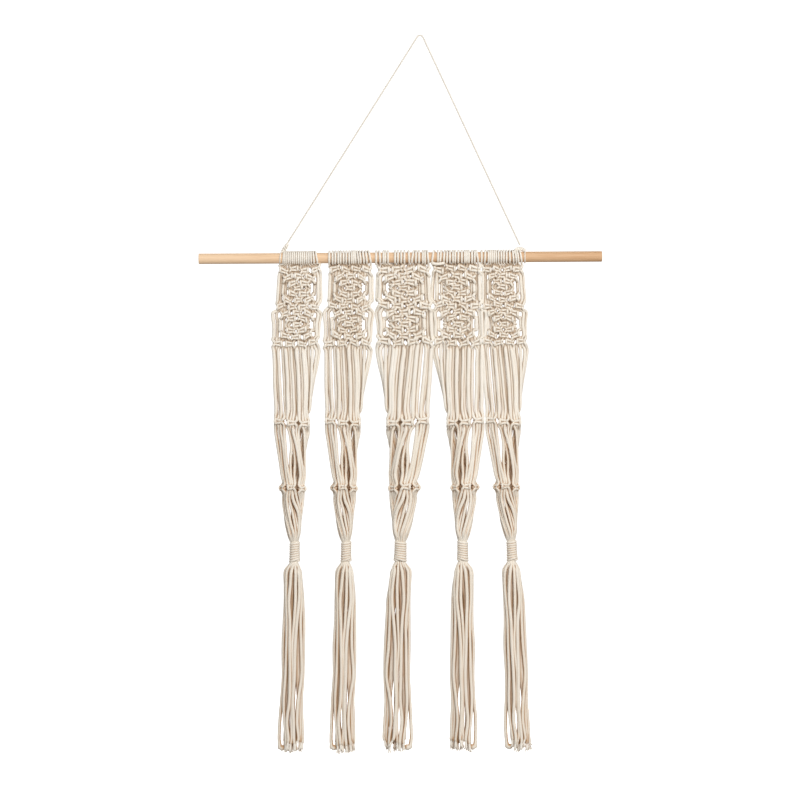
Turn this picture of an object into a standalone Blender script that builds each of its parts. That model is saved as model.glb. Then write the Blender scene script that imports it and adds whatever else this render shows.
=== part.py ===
"""A macrame wall hanging: five knotted panels of cotton cord on a wooden rod.

The rod hangs from one nail by a thin cord that is tied to it near both ends. Each panel is eight
cords folded over the rod, so sixteen strands. Alternating square knots make two hourglass fields
with loose strands beside them; below, two rows of four knots roll the panel into a tube, a
separate cord binds it, and the strands end as a fringe.

The origin is the point where the hanging cord bears on the nail. +Z is up, +X is to the right and
the front faces -Y. Lengths are in metres and angles in degrees, unless a name says otherwise.
"""

import math
import random
from collections import namedtuple

import bmesh
import bpy
from mathutils import Matrix, Vector

GAP = 0.0003  # between pieces that touch

ROD_LENGTH = 0.610
ROD_RADIUS = 0.008
ROD_DROP = 0.3353  # of the rod's axis below the nail
ROD_SHIFT = -0.0298  # of the rod's middle from the nail
ROD_TILT = 0.34  # the right end hangs a little higher
ROD_SIDES = 24
ROD_CHAMFER = 0.0006

HANGER_RADIUS = 0.0009
HANGER_BEND = 0.0045  # radius of the cord's middle over the nail
HANGER_LEG_POINTS = 18
HANGER_BEND_POINTS = 7

# Where the hanging cord is tied: the places of its turns and of the knot along the rod, and the
# knot's height above the rod's axis.
Tie = namedtuple("Tie", "name turns_at turns knot_at knot_height")
TIES = (
    Tie("tie_left", -0.1807, 2, -0.1737, 0.0183),
    Tie("tie_right", 0.1874, 1, 0.1822, 0.0152),
)
TIE_TURN_WIDTH = 0.0020
TIE_TURN_HEIGHT = 0.0006
TIE_RING_SIDES = 12
TIE_KNOT_RADIUS = 0.0030
TIE_STRAND_DEPTH = 0.0045  # of the two strands from the rod to the knot, before and behind it

CORD = 0.0038  # a cord's thickness where it runs free
BOUND_DEPTH = 0.0030  # and its depth where it enters the binding
STRANDS = 16
ALL_STRANDS = (0, STRANDS - 1)
RING_SIDES = 8  # of the wound rings
TURN_HEIGHT = 0.0014  # of a turn's crown over the valley beside it
WRAP_WALL = 0.0036  # from the rod to the crown of a wrap

# Drops below the rod's axis.
TOP_DROP = 0.0092  # inside the wraps, where the strands leave the rod
FIRST_ROW_DROP = 0.0188
ROW_PITCH = 0.0091
LAST_ROW = 12
BAR_EVERY = 6  # rows from one full row of knots to the next
LAST_ROW_DROP = FIRST_ROW_DROP + LAST_ROW * ROW_PITCH
BAR_HALF = 0.0040  # half the height of a full row of knots
KNOT_HALF = 0.0045  # half the height of a knot in the two rows below
ROW_A_DROP = 0.249
ROW_B_DROP = 0.3475
ABOVE_A_DROP = 0.1970
ABOVE_B_DROP = 0.3000
ABOVE_NECK_DROP = 0.3900
NECK_DROP = 0.4235
BINDING_TOP = 0.4275
BINDING_BOTTOM = 0.4610
BINDING_TURNS = 7
BINDING_RADIUS = 0.0079  # to the crowns of its upper turns; the lower ones stand out more
BINDING_TAPER = 1.1
BINDING_SHARE = 0.85  # of a panel's extra width that its binding has too
PLUG_BOTTOM = 0.4400  # where the gathered strands end inside the binding and the fringe begins
PLUG_RADIUS = 0.0046
TIP_DROP = 0.7430

KNOT_CROWN = 0.0040  # half the thickness of the field at a knot
KNOT_VALLEY = 0.0022  # and between knots
ROW_KNOT_CROWN = 0.0046  # half the thickness of the knots in the two rows below

# A panel's half width and, once it is rolled, half depth, and how far forward it hangs.
Width = namedtuple("Width", "drop half_width half_depth forward")
WIDTHS = (
    Width(FIRST_ROW_DROP, 0.0321, 0.0000, 0.0000),
    Width(0.0733, 0.0334, 0.0000, 0.0000),
    Width(LAST_ROW_DROP, 0.0352, 0.0000, 0.0000),
    Width(ABOVE_A_DROP, 0.0340, 0.0060, 0.0010),
    Width(ROW_A_DROP, 0.0272, 0.0105, 0.0020),
    Width(ABOVE_B_DROP, 0.0208, 0.0112, 0.0020),
    Width(ROW_B_DROP, 0.0146, 0.0120, 0.0020),
    Width(ABOVE_NECK_DROP, 0.0126, 0.0105, 0.0015),
    Width(NECK_DROP, 0.0084, 0.0080, 0.0010),
    Width(BINDING_BOTTOM, 0.0082, 0.0082, 0.0010),
    Width(0.4750, 0.0112, 0.0090, 0.0010),
    Width(0.5200, 0.0134, 0.0095, 0.0010),
    Width(0.6300, 0.0144, 0.0100, 0.0010),
    Width(TIP_DROP, 0.0165, 0.0102, 0.0010),
)

# Drops at which a panel's centre line, and its width against the first panel's, are given.
LINE_DROPS = (
    0.0, FIRST_ROW_DROP, LAST_ROW_DROP, ROW_A_DROP, ROW_B_DROP, BINDING_TOP, 0.5800, TIP_DROP
)
WIDEN_DROPS = (FIRST_ROW_DROP, LAST_ROW_DROP, ROW_A_DROP)

# side: 1, or -1 for a panel that is the mirror image. widen: at WIDEN_DROPS. swell: how far the
# loose strands beside the lower field swell out, against the first panel. line: the panel's
# middle at LINE_DROPS, along the rod from its middle. wraps: groups of (start, end, wraps).
Panel = namedtuple("Panel", "name side widen swell line wraps")
PANELS = (
    Panel(
        "1", 1, (1.00, 1.00, 1.00), 1.0,
        (-0.1512, -0.1525, -0.1584, -0.1636, -0.1620, -0.1608, -0.1623, -0.1673),
        ((-0.1776, -0.1248, 16),),
    ),
    Panel(
        "2", 1, (1.00, 1.02, 1.00), 1.0,
        (-0.0769, -0.0750, -0.0794, -0.0867, -0.0844, -0.0829, -0.0852, -0.0890),
        ((-0.1094, -0.0445, 16),),
    ),
    Panel(
        "3", -1, (1.23, 1.21, 1.21), 0.2,
        (0.0025, 0.0048, 0.0080, 0.0112, 0.0051, 0.0006, -0.0032, -0.0027),
        ((-0.0384, -0.0165, 5), (-0.0097, 0.0079, 4), (0.0119, 0.0433, 7)),
    ),
    Panel(
        "4", -1, (1.12, 0.99, 1.03), 0.0,
        (0.0822, 0.0855, 0.0873, 0.0979, 0.0968, 0.0943, 0.0949, 0.0971),
        ((0.0480, 0.0890, 9), (0.0930, 0.1165, 7)),
    ),
    Panel(
        "5", 1, (0.96, 0.95, 0.99), 0.0,
        (0.1519, 0.1542, 0.1577, 0.1556, 0.1611, 0.1669, 0.1728, 0.1766),
        ((0.1216, 0.1289, 2), (0.1327, 0.1822, 14)),
    ),
)

# How far each loose strand swells sideways half way down the upper and the lower field.
UPPER_SWELL = {
    0: -0.0012, 1: -0.0010, 2: -0.0008, 3: -0.0006,
    12: 0.0012, 13: 0.0014, 14: 0.0014, 15: 0.0014,
}
LOWER_SWELL = {
    0: -0.0040, 1: -0.0034, 2: -0.0026, 3: -0.0012,
    12: 0.0006, 13: 0.0008, 14: 0.0010, 15: 0.0012,
}

# The knots of the two rows: first strand, place round the tube (0 is the front, positive turns
# to the right), and the angle that each strand takes.
RowKnot = namedtuple("RowKnot", "first middle step")
ROW_A = (RowKnot(2, -43, 11.0), RowKnot(6, 0, 9.0), RowKnot(10, 43, 11.0), RowKnot(14, 180, 9.5))
ROW_B = (RowKnot(0, -66, 14.5), RowKnot(4, -6, 11.5), RowKnot(8, 56, 14.5), RowKnot(12, 180, 13))
KNOT_STRANDS = 4
NECK_TURN = 75  # how far the strands have turned round the tube by the neck

ROOT_THICKNESS = 0.0025
FRINGE_DROPS = (0.4750, 0.5200, 0.6300)
FRINGE_SWAY = 0.0006  # most that a strand strays along the oval at one section
TIP_SPREAD = 0.0045  # most that a strand is longer or shorter

COTTON = (0.86, 0.80, 0.70)
THIN_COTTON = (0.84, 0.79, 0.69)
BEECH = (0.78, 0.56, 0.36)


# ---------------------------------------------------------------- small helpers


def clear_scene():
    """Removes whatever the scene holds."""
    for obj in list(bpy.data.objects):
        bpy.data.objects.remove(obj)


def material(name, colour, roughness):
    """A plain finish."""
    made = bpy.data.materials.new(name)
    made.use_nodes = True
    shader = made.node_tree.nodes["Principled BSDF"]
    shader.inputs["Base Color"].default_value = (*colour, 1)
    shader.inputs["Roughness"].default_value = roughness
    shader.inputs["Metallic"].default_value = 0
    return made


def add_object(name, mesh, finish=None):
    """Links a mesh to the scene as an object."""
    obj = bpy.data.objects.new(name, mesh)
    bpy.context.scene.collection.objects.link(obj)
    if finish:
        mesh.materials.append(finish)
    return obj


def mesh_of(bm, name):
    """Turns a bmesh into a mesh whose faces point out."""
    bmesh.ops.recalc_face_normals(bm, faces=bm.faces)
    if bm.calc_volume(signed=True) < 0:
        bmesh.ops.reverse_faces(bm, faces=bm.faces)
    mesh = bpy.data.meshes.new(name)
    bm.to_mesh(mesh)
    bm.free()
    return mesh


def fuse(obj, others):
    """Joins other objects to obj with Boolean unions and removes them."""
    for other in others:
        union = obj.modifiers.new("union", "BOOLEAN")
        union.operation = "UNION"
        union.solver = "EXACT"
        union.object = other
    graph = bpy.context.evaluated_depsgraph_get()
    joined = bpy.data.meshes.new_from_object(obj.evaluated_get(graph))
    obj.modifiers.clear()
    obj.data = joined
    for other in others:
        bpy.data.objects.remove(other)
    return obj


def between(table, drop):
    """The value at a drop, read straight between the rows of a table of (drop, value)."""
    if drop <= table[0][0]:
        return table[0][1]
    for (high, first), (low, last) in zip(table, table[1:]):
        if drop <= low:
            share = (drop - high) / (low - high)
            return first + share * (last - first)
    return table[-1][1]


def along_rod(along):
    """The point of the rod's axis at a distance from the rod's middle."""
    tilt = math.radians(ROD_TILT)
    return Vector((ROD_SHIFT + along * math.cos(tilt), 0, along * math.sin(tilt) - ROD_DROP))


def rod_frame(along):
    """A frame on the rod's axis whose Z runs along the rod to the right and whose X points up."""
    turn = Matrix.Rotation(math.radians(90 - ROD_TILT), 4, "Y")
    return Matrix.Translation(along_rod(along)) @ turn @ Matrix.Rotation(math.pi, 4, "Z")


def wound_ring(bore, crown, turns, length, height=TURN_HEIGHT, sides=RING_SIDES, taper=1.0):
    """A ring of turns wound side by side, from Z = 0 up, as a bmesh with a bore through it.

    bore is the radius that the bore clears and crown that of the turns, which stand up by height
    over the valleys between them. The crowns grow towards Z = 0 by taper.
    """
    bm = bmesh.new()
    bulge = 1 / math.cos(math.pi / sides)
    outline = []
    for i in range(2 * turns + 1):
        share = i / (2 * turns)
        radius = crown - (height if i % 2 == 0 else 0)
        outline.append((radius * (taper + (1 - taper) * share), share * length))
    outline += [(bore * bulge, length), (bore * bulge, 0)]
    rings = []
    for radius, z in outline:
        angles = [2 * math.pi * (j + 0.5) / sides for j in range(sides)]
        rings.append([bm.verts.new((radius * math.cos(a), radius * math.sin(a), z)) for a in angles])
    for ring, below in zip(rings, rings[1:] + rings[:1]):
        for j in range(sides):
            k = (j + 1) % sides
            bm.faces.new((ring[j], ring[k], below[k], below[j]))
    return bm


# ---------------------------------------------------------------- the rod and the hanging cord


def make_rod(finish):
    """The wooden dowel, sawn square at both ends with its edges eased."""
    bm = bmesh.new()
    bmesh.ops.create_cone(
        bm, cap_ends=True, segments=ROD_SIDES, radius1=ROD_RADIUS, radius2=ROD_RADIUS,
        depth=ROD_LENGTH, matrix=rod_frame(0),
    )
    rims = [e for e in bm.edges if any(len(f.verts) > 4 for f in e.link_faces)]
    bmesh.ops.bevel(bm, geom=rims, offset=ROD_CHAMFER, segments=1, affect="EDGES")
    rod = add_object("rod", mesh_of(bm, "rod"), finish)
    rod.data.shade_smooth()
    rod.data.set_sharp_from_angle(angle=math.radians(30))
    return rod


def knot_middle(tie):
    """The middle of the knot that a tie ends in."""
    return along_rod(tie.knot_at) + Vector((0, 0, tie.knot_height))


def bar(start, end, radius, sides=4):
    """A short straight strand between two points, as a bmesh."""
    run = end - start
    turn = run.to_track_quat("Z", "Y").to_matrix().to_4x4()
    bm = bmesh.new()
    bmesh.ops.create_cone(
        bm, cap_ends=True, segments=sides, radius1=radius, radius2=radius, depth=run.length,
        matrix=Matrix.Translation((start + end) / 2) @ turn,
    )
    return bm


def make_tie(tie, finish):
    """The hanging cord's end: turns round the rod, two strands up and the knot."""
    length = tie.turns * TIE_TURN_WIDTH
    bore = ROD_RADIUS + GAP
    crown = bore + 2 * HANGER_RADIUS
    ring = wound_ring(bore, crown, tie.turns, length, TIE_TURN_HEIGHT, TIE_RING_SIDES)
    ring.transform(rod_frame(tie.turns_at - length / 2))
    tied = add_object(tie.name, mesh_of(ring, tie.name), finish)
    knot = bmesh.new()
    middle = knot_middle(tie)
    bmesh.ops.create_icosphere(
        knot, subdivisions=1, radius=TIE_KNOT_RADIUS, matrix=Matrix.Translation(middle)
    )
    pieces = [add_object("knot", mesh_of(knot, "knot"))]
    reach = bore + HANGER_RADIUS
    for depth in (-TIE_STRAND_DEPTH, TIE_STRAND_DEPTH):
        height = math.sqrt(reach**2 - depth**2)
        foot = along_rod(tie.turns_at) + Vector((0, depth, height))
        strand = bar(foot, middle, HANGER_RADIUS)
        pieces.append(add_object("strand", mesh_of(strand, "strand")))
    return fuse(tied, pieces)


def tangent_point(centre, radius, point, turn):
    """Where the straight line from point meets a circle in the XZ plane; turn is 1 or -1."""
    away = point - centre
    lift = turn * math.acos(radius / away.length)
    angle = math.atan2(away.z, away.x) + lift
    return centre + radius * Vector((math.cos(angle), 0, math.sin(angle))), angle


def hanger_route():
    """The points of the hanging cord's middle, from the left knot over the nail to the right."""
    centre = Vector((0, 0, HANGER_RADIUS - HANGER_BEND))
    feet = [knot_middle(tie) for tie in TIES]
    left, left_angle = tangent_point(centre, HANGER_BEND, feet[0], -1)
    right, right_angle = tangent_point(centre, HANGER_BEND, feet[1], 1)
    clear = TIE_KNOT_RADIUS + GAP
    ends = [foot + (top - foot).normalized() * clear for foot, top in zip(feet, (left, right))]
    left_angle %= 2 * math.pi
    right_angle %= 2 * math.pi
    down, up = [
        [low.lerp(high, i / HANGER_LEG_POINTS) for i in range(HANGER_LEG_POINTS)]
        for low, high in zip(ends, (left, right))
    ]
    steps = HANGER_BEND_POINTS - 1
    angles = [left_angle + (right_angle - left_angle) * i / steps for i in range(steps + 1)]
    over = [centre + HANGER_BEND * Vector((math.cos(a), 0, math.sin(a))) for a in angles]
    return down + over + up[::-1]


def make_hanger(finish):
    """The thin cord that the rod hangs by."""
    curve = bpy.data.curves.new("hanger_cord", "CURVE")
    curve.dimensions = "3D"
    curve.bevel_depth = HANGER_RADIUS
    curve.bevel_resolution = 2
    curve.use_fill_caps = True
    route = hanger_route()
    spline = curve.splines.new("POLY")
    spline.points.add(len(route) - 1)
    for point, place in zip(spline.points, route):
        point.co = (*place, 1)
    return add_object("hanger_cord", curve, finish)


# ---------------------------------------------------------------- where strands run in a panel


def width_at(drop):
    """The row of WIDTHS at a drop, read between the rows."""
    columns = [
        between([(row.drop, getattr(row, column)) for row in WIDTHS], drop)
        for column in ("half_width", "half_depth", "forward")
    ]
    return Width(drop, *columns)


def widening(panel, drop):
    """A panel's width at a drop against the first panel's."""
    return between(list(zip(WIDEN_DROPS, panel.widen)), drop)


def oval_place(panel, drop, degrees, out=0.0, aside=0.0):
    """A point on the oval that a rolled panel follows at a drop.

    degrees runs round the tube from the front towards the panel's right, out is how far the
    point stands off the oval, and aside how far it is moved along it.
    """
    row = width_at(drop)
    angle = math.radians(degrees)
    wide, deep = row.half_width * widening(panel, drop), row.half_depth
    face = Vector((math.sin(angle) / wide, -math.cos(angle) / deep, 0)).normalized()
    along = Vector((-face.y, face.x, 0))
    spot = Vector((wide * math.sin(angle), -deep * math.cos(angle) - row.forward, 0))
    return in_panel(panel, drop, spot + face * out + along * aside)


def flat_place(panel, drop, strand, out=0.0, aside=0.0):
    """A point of the flat panel; strand counts strand widths from its left edge."""
    half = width_at(drop).half_width * widening(panel, drop)
    across = half * (2 * strand / STRANDS - 1)
    return in_panel(panel, drop, Vector((across + aside, -out, 0)))


def in_panel(panel, drop, spot):
    """Moves a spot from the panel's own middle to its place on the rod."""
    middle = between(list(zip(LINE_DROPS, panel.line)), drop)
    return along_rod(middle) + Vector((panel.side * spot.x, spot.y, -drop))


# ---------------------------------------------------------------- the levels of a panel


def row_drop(row):
    """The drop of a row of the knotted field."""
    return FIRST_ROW_DROP + row * ROW_PITCH


def row_angle(knots, edge):
    """The place round the tube of an edge between strands, by the knot that holds it there."""
    found = [(k, (edge - k.first) % STRANDS) for k in knots]
    knot, offset = min(found, key=lambda pair: pair[1])
    return knot.middle + knot.step * (offset - KNOT_STRANDS / 2)


def strand_angle(knots, strand):
    """The place round the tube of a strand's middle in a row of knots."""
    return row_angle(knots, strand + 0.5)


def neck_angle(edge):
    """The place round the neck of an edge between strands."""
    return 360 * edge / STRANDS - 180 + NECK_TURN


def field_swell(panel, drop, strand):
    """How far a loose strand beside the field has swelled sideways at a drop."""
    middle = row_drop(BAR_EVERY)
    upper = drop < middle
    top, bottom = (row_drop(0), middle) if upper else (middle, row_drop(LAST_ROW))
    most = (UPPER_SWELL if upper else LOWER_SWELL).get(strand, 0.0)
    share = max(0.0, min(1.0, (drop - top) / (bottom - top)))
    return most * math.sin(math.pi * share) * (1.0 if upper or most > 0 else panel.swell)


# A level: its name, its drop and, in the flat field, its row of knots.
Level = namedtuple("Level", "key drop row")


def level_list():
    """The levels from the rod to the neck."""
    levels = [Level("top", TOP_DROP, 0), Level("bar_bottom", row_drop(0) + BAR_HALF, 0)]
    for row in range(1, LAST_ROW + 1):
        if row % BAR_EVERY:
            levels.append(Level("row", row_drop(row), row))
        else:
            levels.append(Level("bar_top", row_drop(row) - BAR_HALF, row))
            levels.append(Level("bar_bottom", row_drop(row) + BAR_HALF, row))
    levels += [
        Level("above_a", ABOVE_A_DROP, None),
        Level("a_top", ROW_A_DROP - KNOT_HALF, None),
        Level("a_bottom", ROW_A_DROP + KNOT_HALF, None),
        Level("above_b", ABOVE_B_DROP, None),
        Level("b_top", ROW_B_DROP - KNOT_HALF, None),
        Level("b_bottom", ROW_B_DROP + KNOT_HALF, None),
        Level("above_neck", ABOVE_NECK_DROP, None),
        Level("neck", NECK_DROP, None),
    ]
    return levels


def held_between(upper, lower):
    """The runs (first, last) of strands that knots hold between two levels."""
    for knots, name in ((ROW_A, "a_top"), (ROW_B, "b_top")):
        if upper.key == name:
            return [(knot.first, knot.first + KNOT_STRANDS - 1) for knot in knots]
    if upper.row is None or lower.row is None:
        return []
    if upper.row == lower.row:
        return [ALL_STRANDS]
    middle = (upper.row + lower.row) / 2 % BAR_EVERY
    loose = 2 if min(middle, BAR_EVERY - middle) < 1 else 4
    return [(loose, STRANDS - 1 - loose)]


# Loose strands run past these rows, so that each has only the bends that its sweep needs.
PASSED_BY = {
    **{s: (1, 3, 5, 7, 9, 11) for s in (0, 1, 14, 15)},
    **{s: (2, 4, 8, 10) for s in (2, 3, 12, 13)},
}


def passes_by(level, strand):
    """Whether a loose strand runs past a level without a bend."""
    return level.row in PASSED_BY.get(strand, ())


class Strands:
    """Builds one closed mesh of strands that run down through levels and meet in knots."""

    def __init__(self, panel):
        self.panel = panel
        self.bm = bmesh.new()
        self.points = {}
        self.levels = level_list()
        self.held = [held_between(a, b) for a, b in zip(self.levels, self.levels[1:])]

    def run_of(self, gap, strand):
        """The run that holds a strand in the gap below a level, or None."""
        if not 0 <= gap < len(self.held):
            return None
        for first, last in self.held[gap]:
            if (strand - first) % STRANDS <= last - first:
                return (first, last)
        return None

    def is_held(self, index, strand):
        """Whether a knot above or below a level holds the strand."""
        at_neck = self.levels[index].key == "neck"
        return at_neck or any(self.run_of(gap, strand) for gap in (index - 1, index))

    def knot_thickness(self, level, edge):
        """Half the thickness of the field's knots at an edge between strands."""
        if edge % 2:
            return (KNOT_CROWN + KNOT_VALLEY) / 2
        return KNOT_CROWN if (edge // 2 + level.row) % 2 else KNOT_VALLEY

    def joint_vertex(self, index, run, edge, front):
        """The point that two strands share where a knot holds them."""
        level = self.levels[index]
        key = (index, run[0] if level.row is None else "field", edge, front)
        if key in self.points:
            return self.points[key]
        sign = 1 if front else -1
        if level.key == "top":
            place = self.top_place(edge, sign * KNOT_VALLEY)
        elif level.row is not None:
            out = sign * self.knot_thickness(level, edge)
            place = flat_place(self.panel, level.drop, edge, out)
        elif level.key == "neck":
            out = 0 if front else -BOUND_DEPTH
            place = oval_place(self.panel, level.drop, neck_angle(edge), out)
        else:
            knots = ROW_A if level.key.startswith("a_") else ROW_B
            knot = next(k for k in knots if k.first == run[0])
            offset = (edge - knot.first) % STRANDS
            angle = knot.middle + knot.step * (offset - KNOT_STRANDS / 2)
            at_end = offset in (0, KNOT_STRANDS)
            thick = KNOT_VALLEY if at_end else ROW_KNOT_CROWN
            place = oval_place(self.panel, level.drop, angle, sign * thick)
        self.points[key] = self.bm.verts.new(place)
        return self.points[key]

    def top_place(self, edge, out):
        """Where an edge between strands meets the rod, spread over the panel's wraps."""
        start, end = self.panel.wraps[0][0], self.panel.wraps[-1][1]
        share = edge / STRANDS
        share = share if self.panel.side > 0 else 1 - share
        margin = CORD / 2
        along = start + margin + share * (end - start - 2 * margin)
        return along_rod(along) + Vector((0, -out, -TOP_DROP))

    def free_corner(self, index, strand, right, front):
        """A corner of a loose strand's square section."""
        key = (index, "loose", strand, right, front)
        if key in self.points:
            return self.points[key]
        level = self.levels[index]
        side = (1 if right else -1) * CORD / 2
        out = (1 if front else -1) * CORD / 2
        if level.row is not None:
            aside = side + field_swell(self.panel, level.drop, strand)
            place = flat_place(self.panel, level.drop, strand + 0.5, out, aside)
        elif level.key == "above_a":
            above = self.levels[index - 1].drop
            flat = flat_place(self.panel, level.drop, strand + 0.5, out, side)
            rolled = oval_place(self.panel, level.drop, strand_angle(ROW_A, strand), out, side)
            share = (level.drop - above) / (ROW_A_DROP - above)
            place = flat.lerp(rolled, share)
        else:
            upper, lower = strand_angle(ROW_B, strand), neck_angle(strand + 0.5)
            if level.key == "above_b":
                upper, lower = strand_angle(ROW_A, strand), strand_angle(ROW_B, strand)
            lower += 360 * round((upper - lower) / 360)
            place = oval_place(self.panel, level.drop, (upper + lower) / 2, out, side)
        self.points[key] = self.bm.verts.new(place)
        return self.points[key]

    def corners(self, index, strand):
        """A strand's four corners at a level: front left, front right, back right, back left."""
        if self.is_held(index, strand):
            run = self.run_of(index, strand) or self.run_of(index - 1, strand) or ALL_STRANDS
            left = (strand - run[0]) % STRANDS + run[0]
            right = left + 1
            if self.levels[index].key == "neck":
                right %= STRANDS
            order = ((left, True), (right, True), (right, False), (left, False))
            return tuple(self.joint_vertex(index, run, edge, front) for edge, front in order)
        order = ((False, True), (True, True), (True, False), (False, False))
        return tuple(self.free_corner(index, strand, right, front) for right, front in order)

    def add_loose(self, index, strand):
        """The four walls of a loose strand from a level to the next one where it bends."""
        after = index + 1
        while not self.is_held(after, strand) and passes_by(self.levels[after], strand):
            after += 1
        above, below = self.corners(index, strand), self.corners(after, strand)
        for i in range(4):
            j = (i + 1) % 4
            self.bm.faces.new((above[i], above[j], below[j], below[i]))

    def edge_points(self, index, run, edge, front):
        """The points across two strands of a knot, with one between them where the strands part."""
        points = [self.joint_vertex(index, run, edge, front)]
        parts = not all(
            self.run_of(gap, s) for gap in (index - 1, index) for s in (edge, edge + 1)
        )
        if parts and index > 0:
            points.append(self.joint_vertex(index, run, edge + 1, front))
        points.append(self.joint_vertex(index, run, edge + 2, front))
        return points

    def add_knots(self, index, run):
        """The front, the back and the two ends of the knots that hold a run of strands."""
        first, last = run
        for front in (True, False):
            for edge in range(first, last, 2):
                above = self.edge_points(index, run, edge, front)
                below = self.edge_points(index + 1, run, edge, front)
                self.add_patch(above, below, self.valley_first(index, edge))
        for edge in (first, last + 1):
            self.bm.faces.new(
                [
                    self.joint_vertex(index, run, edge, True),
                    self.joint_vertex(index + 1, run, edge, True),
                    self.joint_vertex(index + 1, run, edge, False),
                    self.joint_vertex(index, run, edge, False),
                ]
            )

    def valley_first(self, index, edge):
        """Whether the fold across a patch of the field starts at its upper left corner."""
        level = self.levels[index]
        return level.row is None or self.knot_thickness(level, edge) < KNOT_CROWN

    def add_patch(self, above, below, from_first):
        """A patch of a knot, folded along its valley where it has four corners."""
        if len(above) + len(below) > 4:
            self.bm.faces.new(above + below[::-1])
            return
        a, b, c, d = above[0], above[1], below[1], below[0]
        cuts = ((a, b, c), (a, c, d)) if from_first else ((a, b, d), (b, c, d))
        for cut in cuts:
            self.bm.faces.new(cut)

    def add_plug(self):
        """The gathered strands below the neck, as far as they go down inside the binding."""
        index = len(self.levels) - 1
        rim = [self.joint_vertex(index, ALL_STRANDS, e, True) for e in range(STRANDS)]
        inner = [self.joint_vertex(index, ALL_STRANDS, e, False) for e in range(STRANDS)]
        self.bm.faces.new(inner)
        rings = []
        for drop in (BINDING_TOP, PLUG_BOTTOM):
            centre = in_panel(self.panel, drop, Vector((0, -width_at(drop).forward, 0)))
            rings.append([self.bm.verts.new(p) for p in plug_ring(self.panel, centre)])
        for j in range(RING_SIDES):
            k = (j + 1) % RING_SIDES
            across = [rim[2 * j], rim[2 * j + 1], rim[(2 * j + 2) % STRANDS]]
            self.bm.faces.new(across + [rings[0][k], rings[0][j]])
            self.bm.faces.new((rings[0][j], rings[0][k], rings[1][k], rings[1][j]))
        self.bm.faces.new(rings[1])

    def build(self):
        """Makes every strand and knot, closes both ends and returns the bmesh."""
        for index in range(len(self.levels) - 1):
            for run in self.held[index]:
                self.add_knots(index, run)
            for strand in range(STRANDS):
                loose = not self.run_of(index, strand)
                starts = self.is_held(index, strand) or not passes_by(self.levels[index], strand)
                if loose and starts:
                    self.add_loose(index, strand)
        edges = range(0, STRANDS + 1, 2)
        front = [self.joint_vertex(0, ALL_STRANDS, edge, True) for edge in edges]
        back = [self.joint_vertex(0, ALL_STRANDS, edge, False) for edge in edges]
        self.bm.faces.new(front + back[::-1])
        self.add_plug()
        return self.bm


def binding_scale(panel):
    """How much stouter the bound part of a panel is than the first panel's."""
    return max(1.0, 1 + BINDING_SHARE * (panel.widen[-1] - 1))


def plug_ring(panel, centre):
    """The corners of the gathered strands' section round a centre."""
    radius = PLUG_RADIUS * binding_scale(panel)
    corners = []
    for j in range(RING_SIDES):
        angle = math.radians(neck_angle(2 * j))
        corners.append(centre + radius * Vector((panel.side * math.sin(angle), -math.cos(angle), 0)))
    return corners


# ---------------------------------------------------------------- the nodes of a panel


def make_panel(panel, finish):
    """One macrame panel: its wraps on the rod, fields, rows of knots and gathered neck."""
    name = f"panel_{panel.name}"
    strands = add_object(name, mesh_of(Strands(panel).build(), name), finish)
    sleeves = []
    for start, end, wraps in panel.wraps:
        ridges = math.ceil(wraps / 2)
        ring = wound_ring(ROD_RADIUS + GAP, ROD_RADIUS + WRAP_WALL, ridges, end - start)
        ring.transform(rod_frame(start))
        sleeves.append(add_object("sleeve", mesh_of(ring, "sleeve")))
    return fuse(strands, sleeves)


def make_binding(panel, finish):
    """The cord wound round the gathered strands above the fringe."""
    name = f"binding_{panel.name}"
    scale = binding_scale(panel)
    bore = PLUG_RADIUS * scale + GAP
    crown = BINDING_RADIUS * scale
    top = in_panel(panel, BINDING_TOP + GAP, Vector((0, -width_at(BINDING_TOP).forward, 0)))
    foot = in_panel(panel, BINDING_BOTTOM, Vector((0, -width_at(BINDING_BOTTOM).forward, 0)))
    ring = wound_ring(bore, crown, BINDING_TURNS, (top - foot).z, taper=BINDING_TAPER)
    lean = Matrix.Identity(4)
    lean[0][2] = (top - foot).x / (top - foot).z
    ring.transform(Matrix.Translation(foot) @ lean)
    return add_object(name, mesh_of(ring, name), finish)


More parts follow.
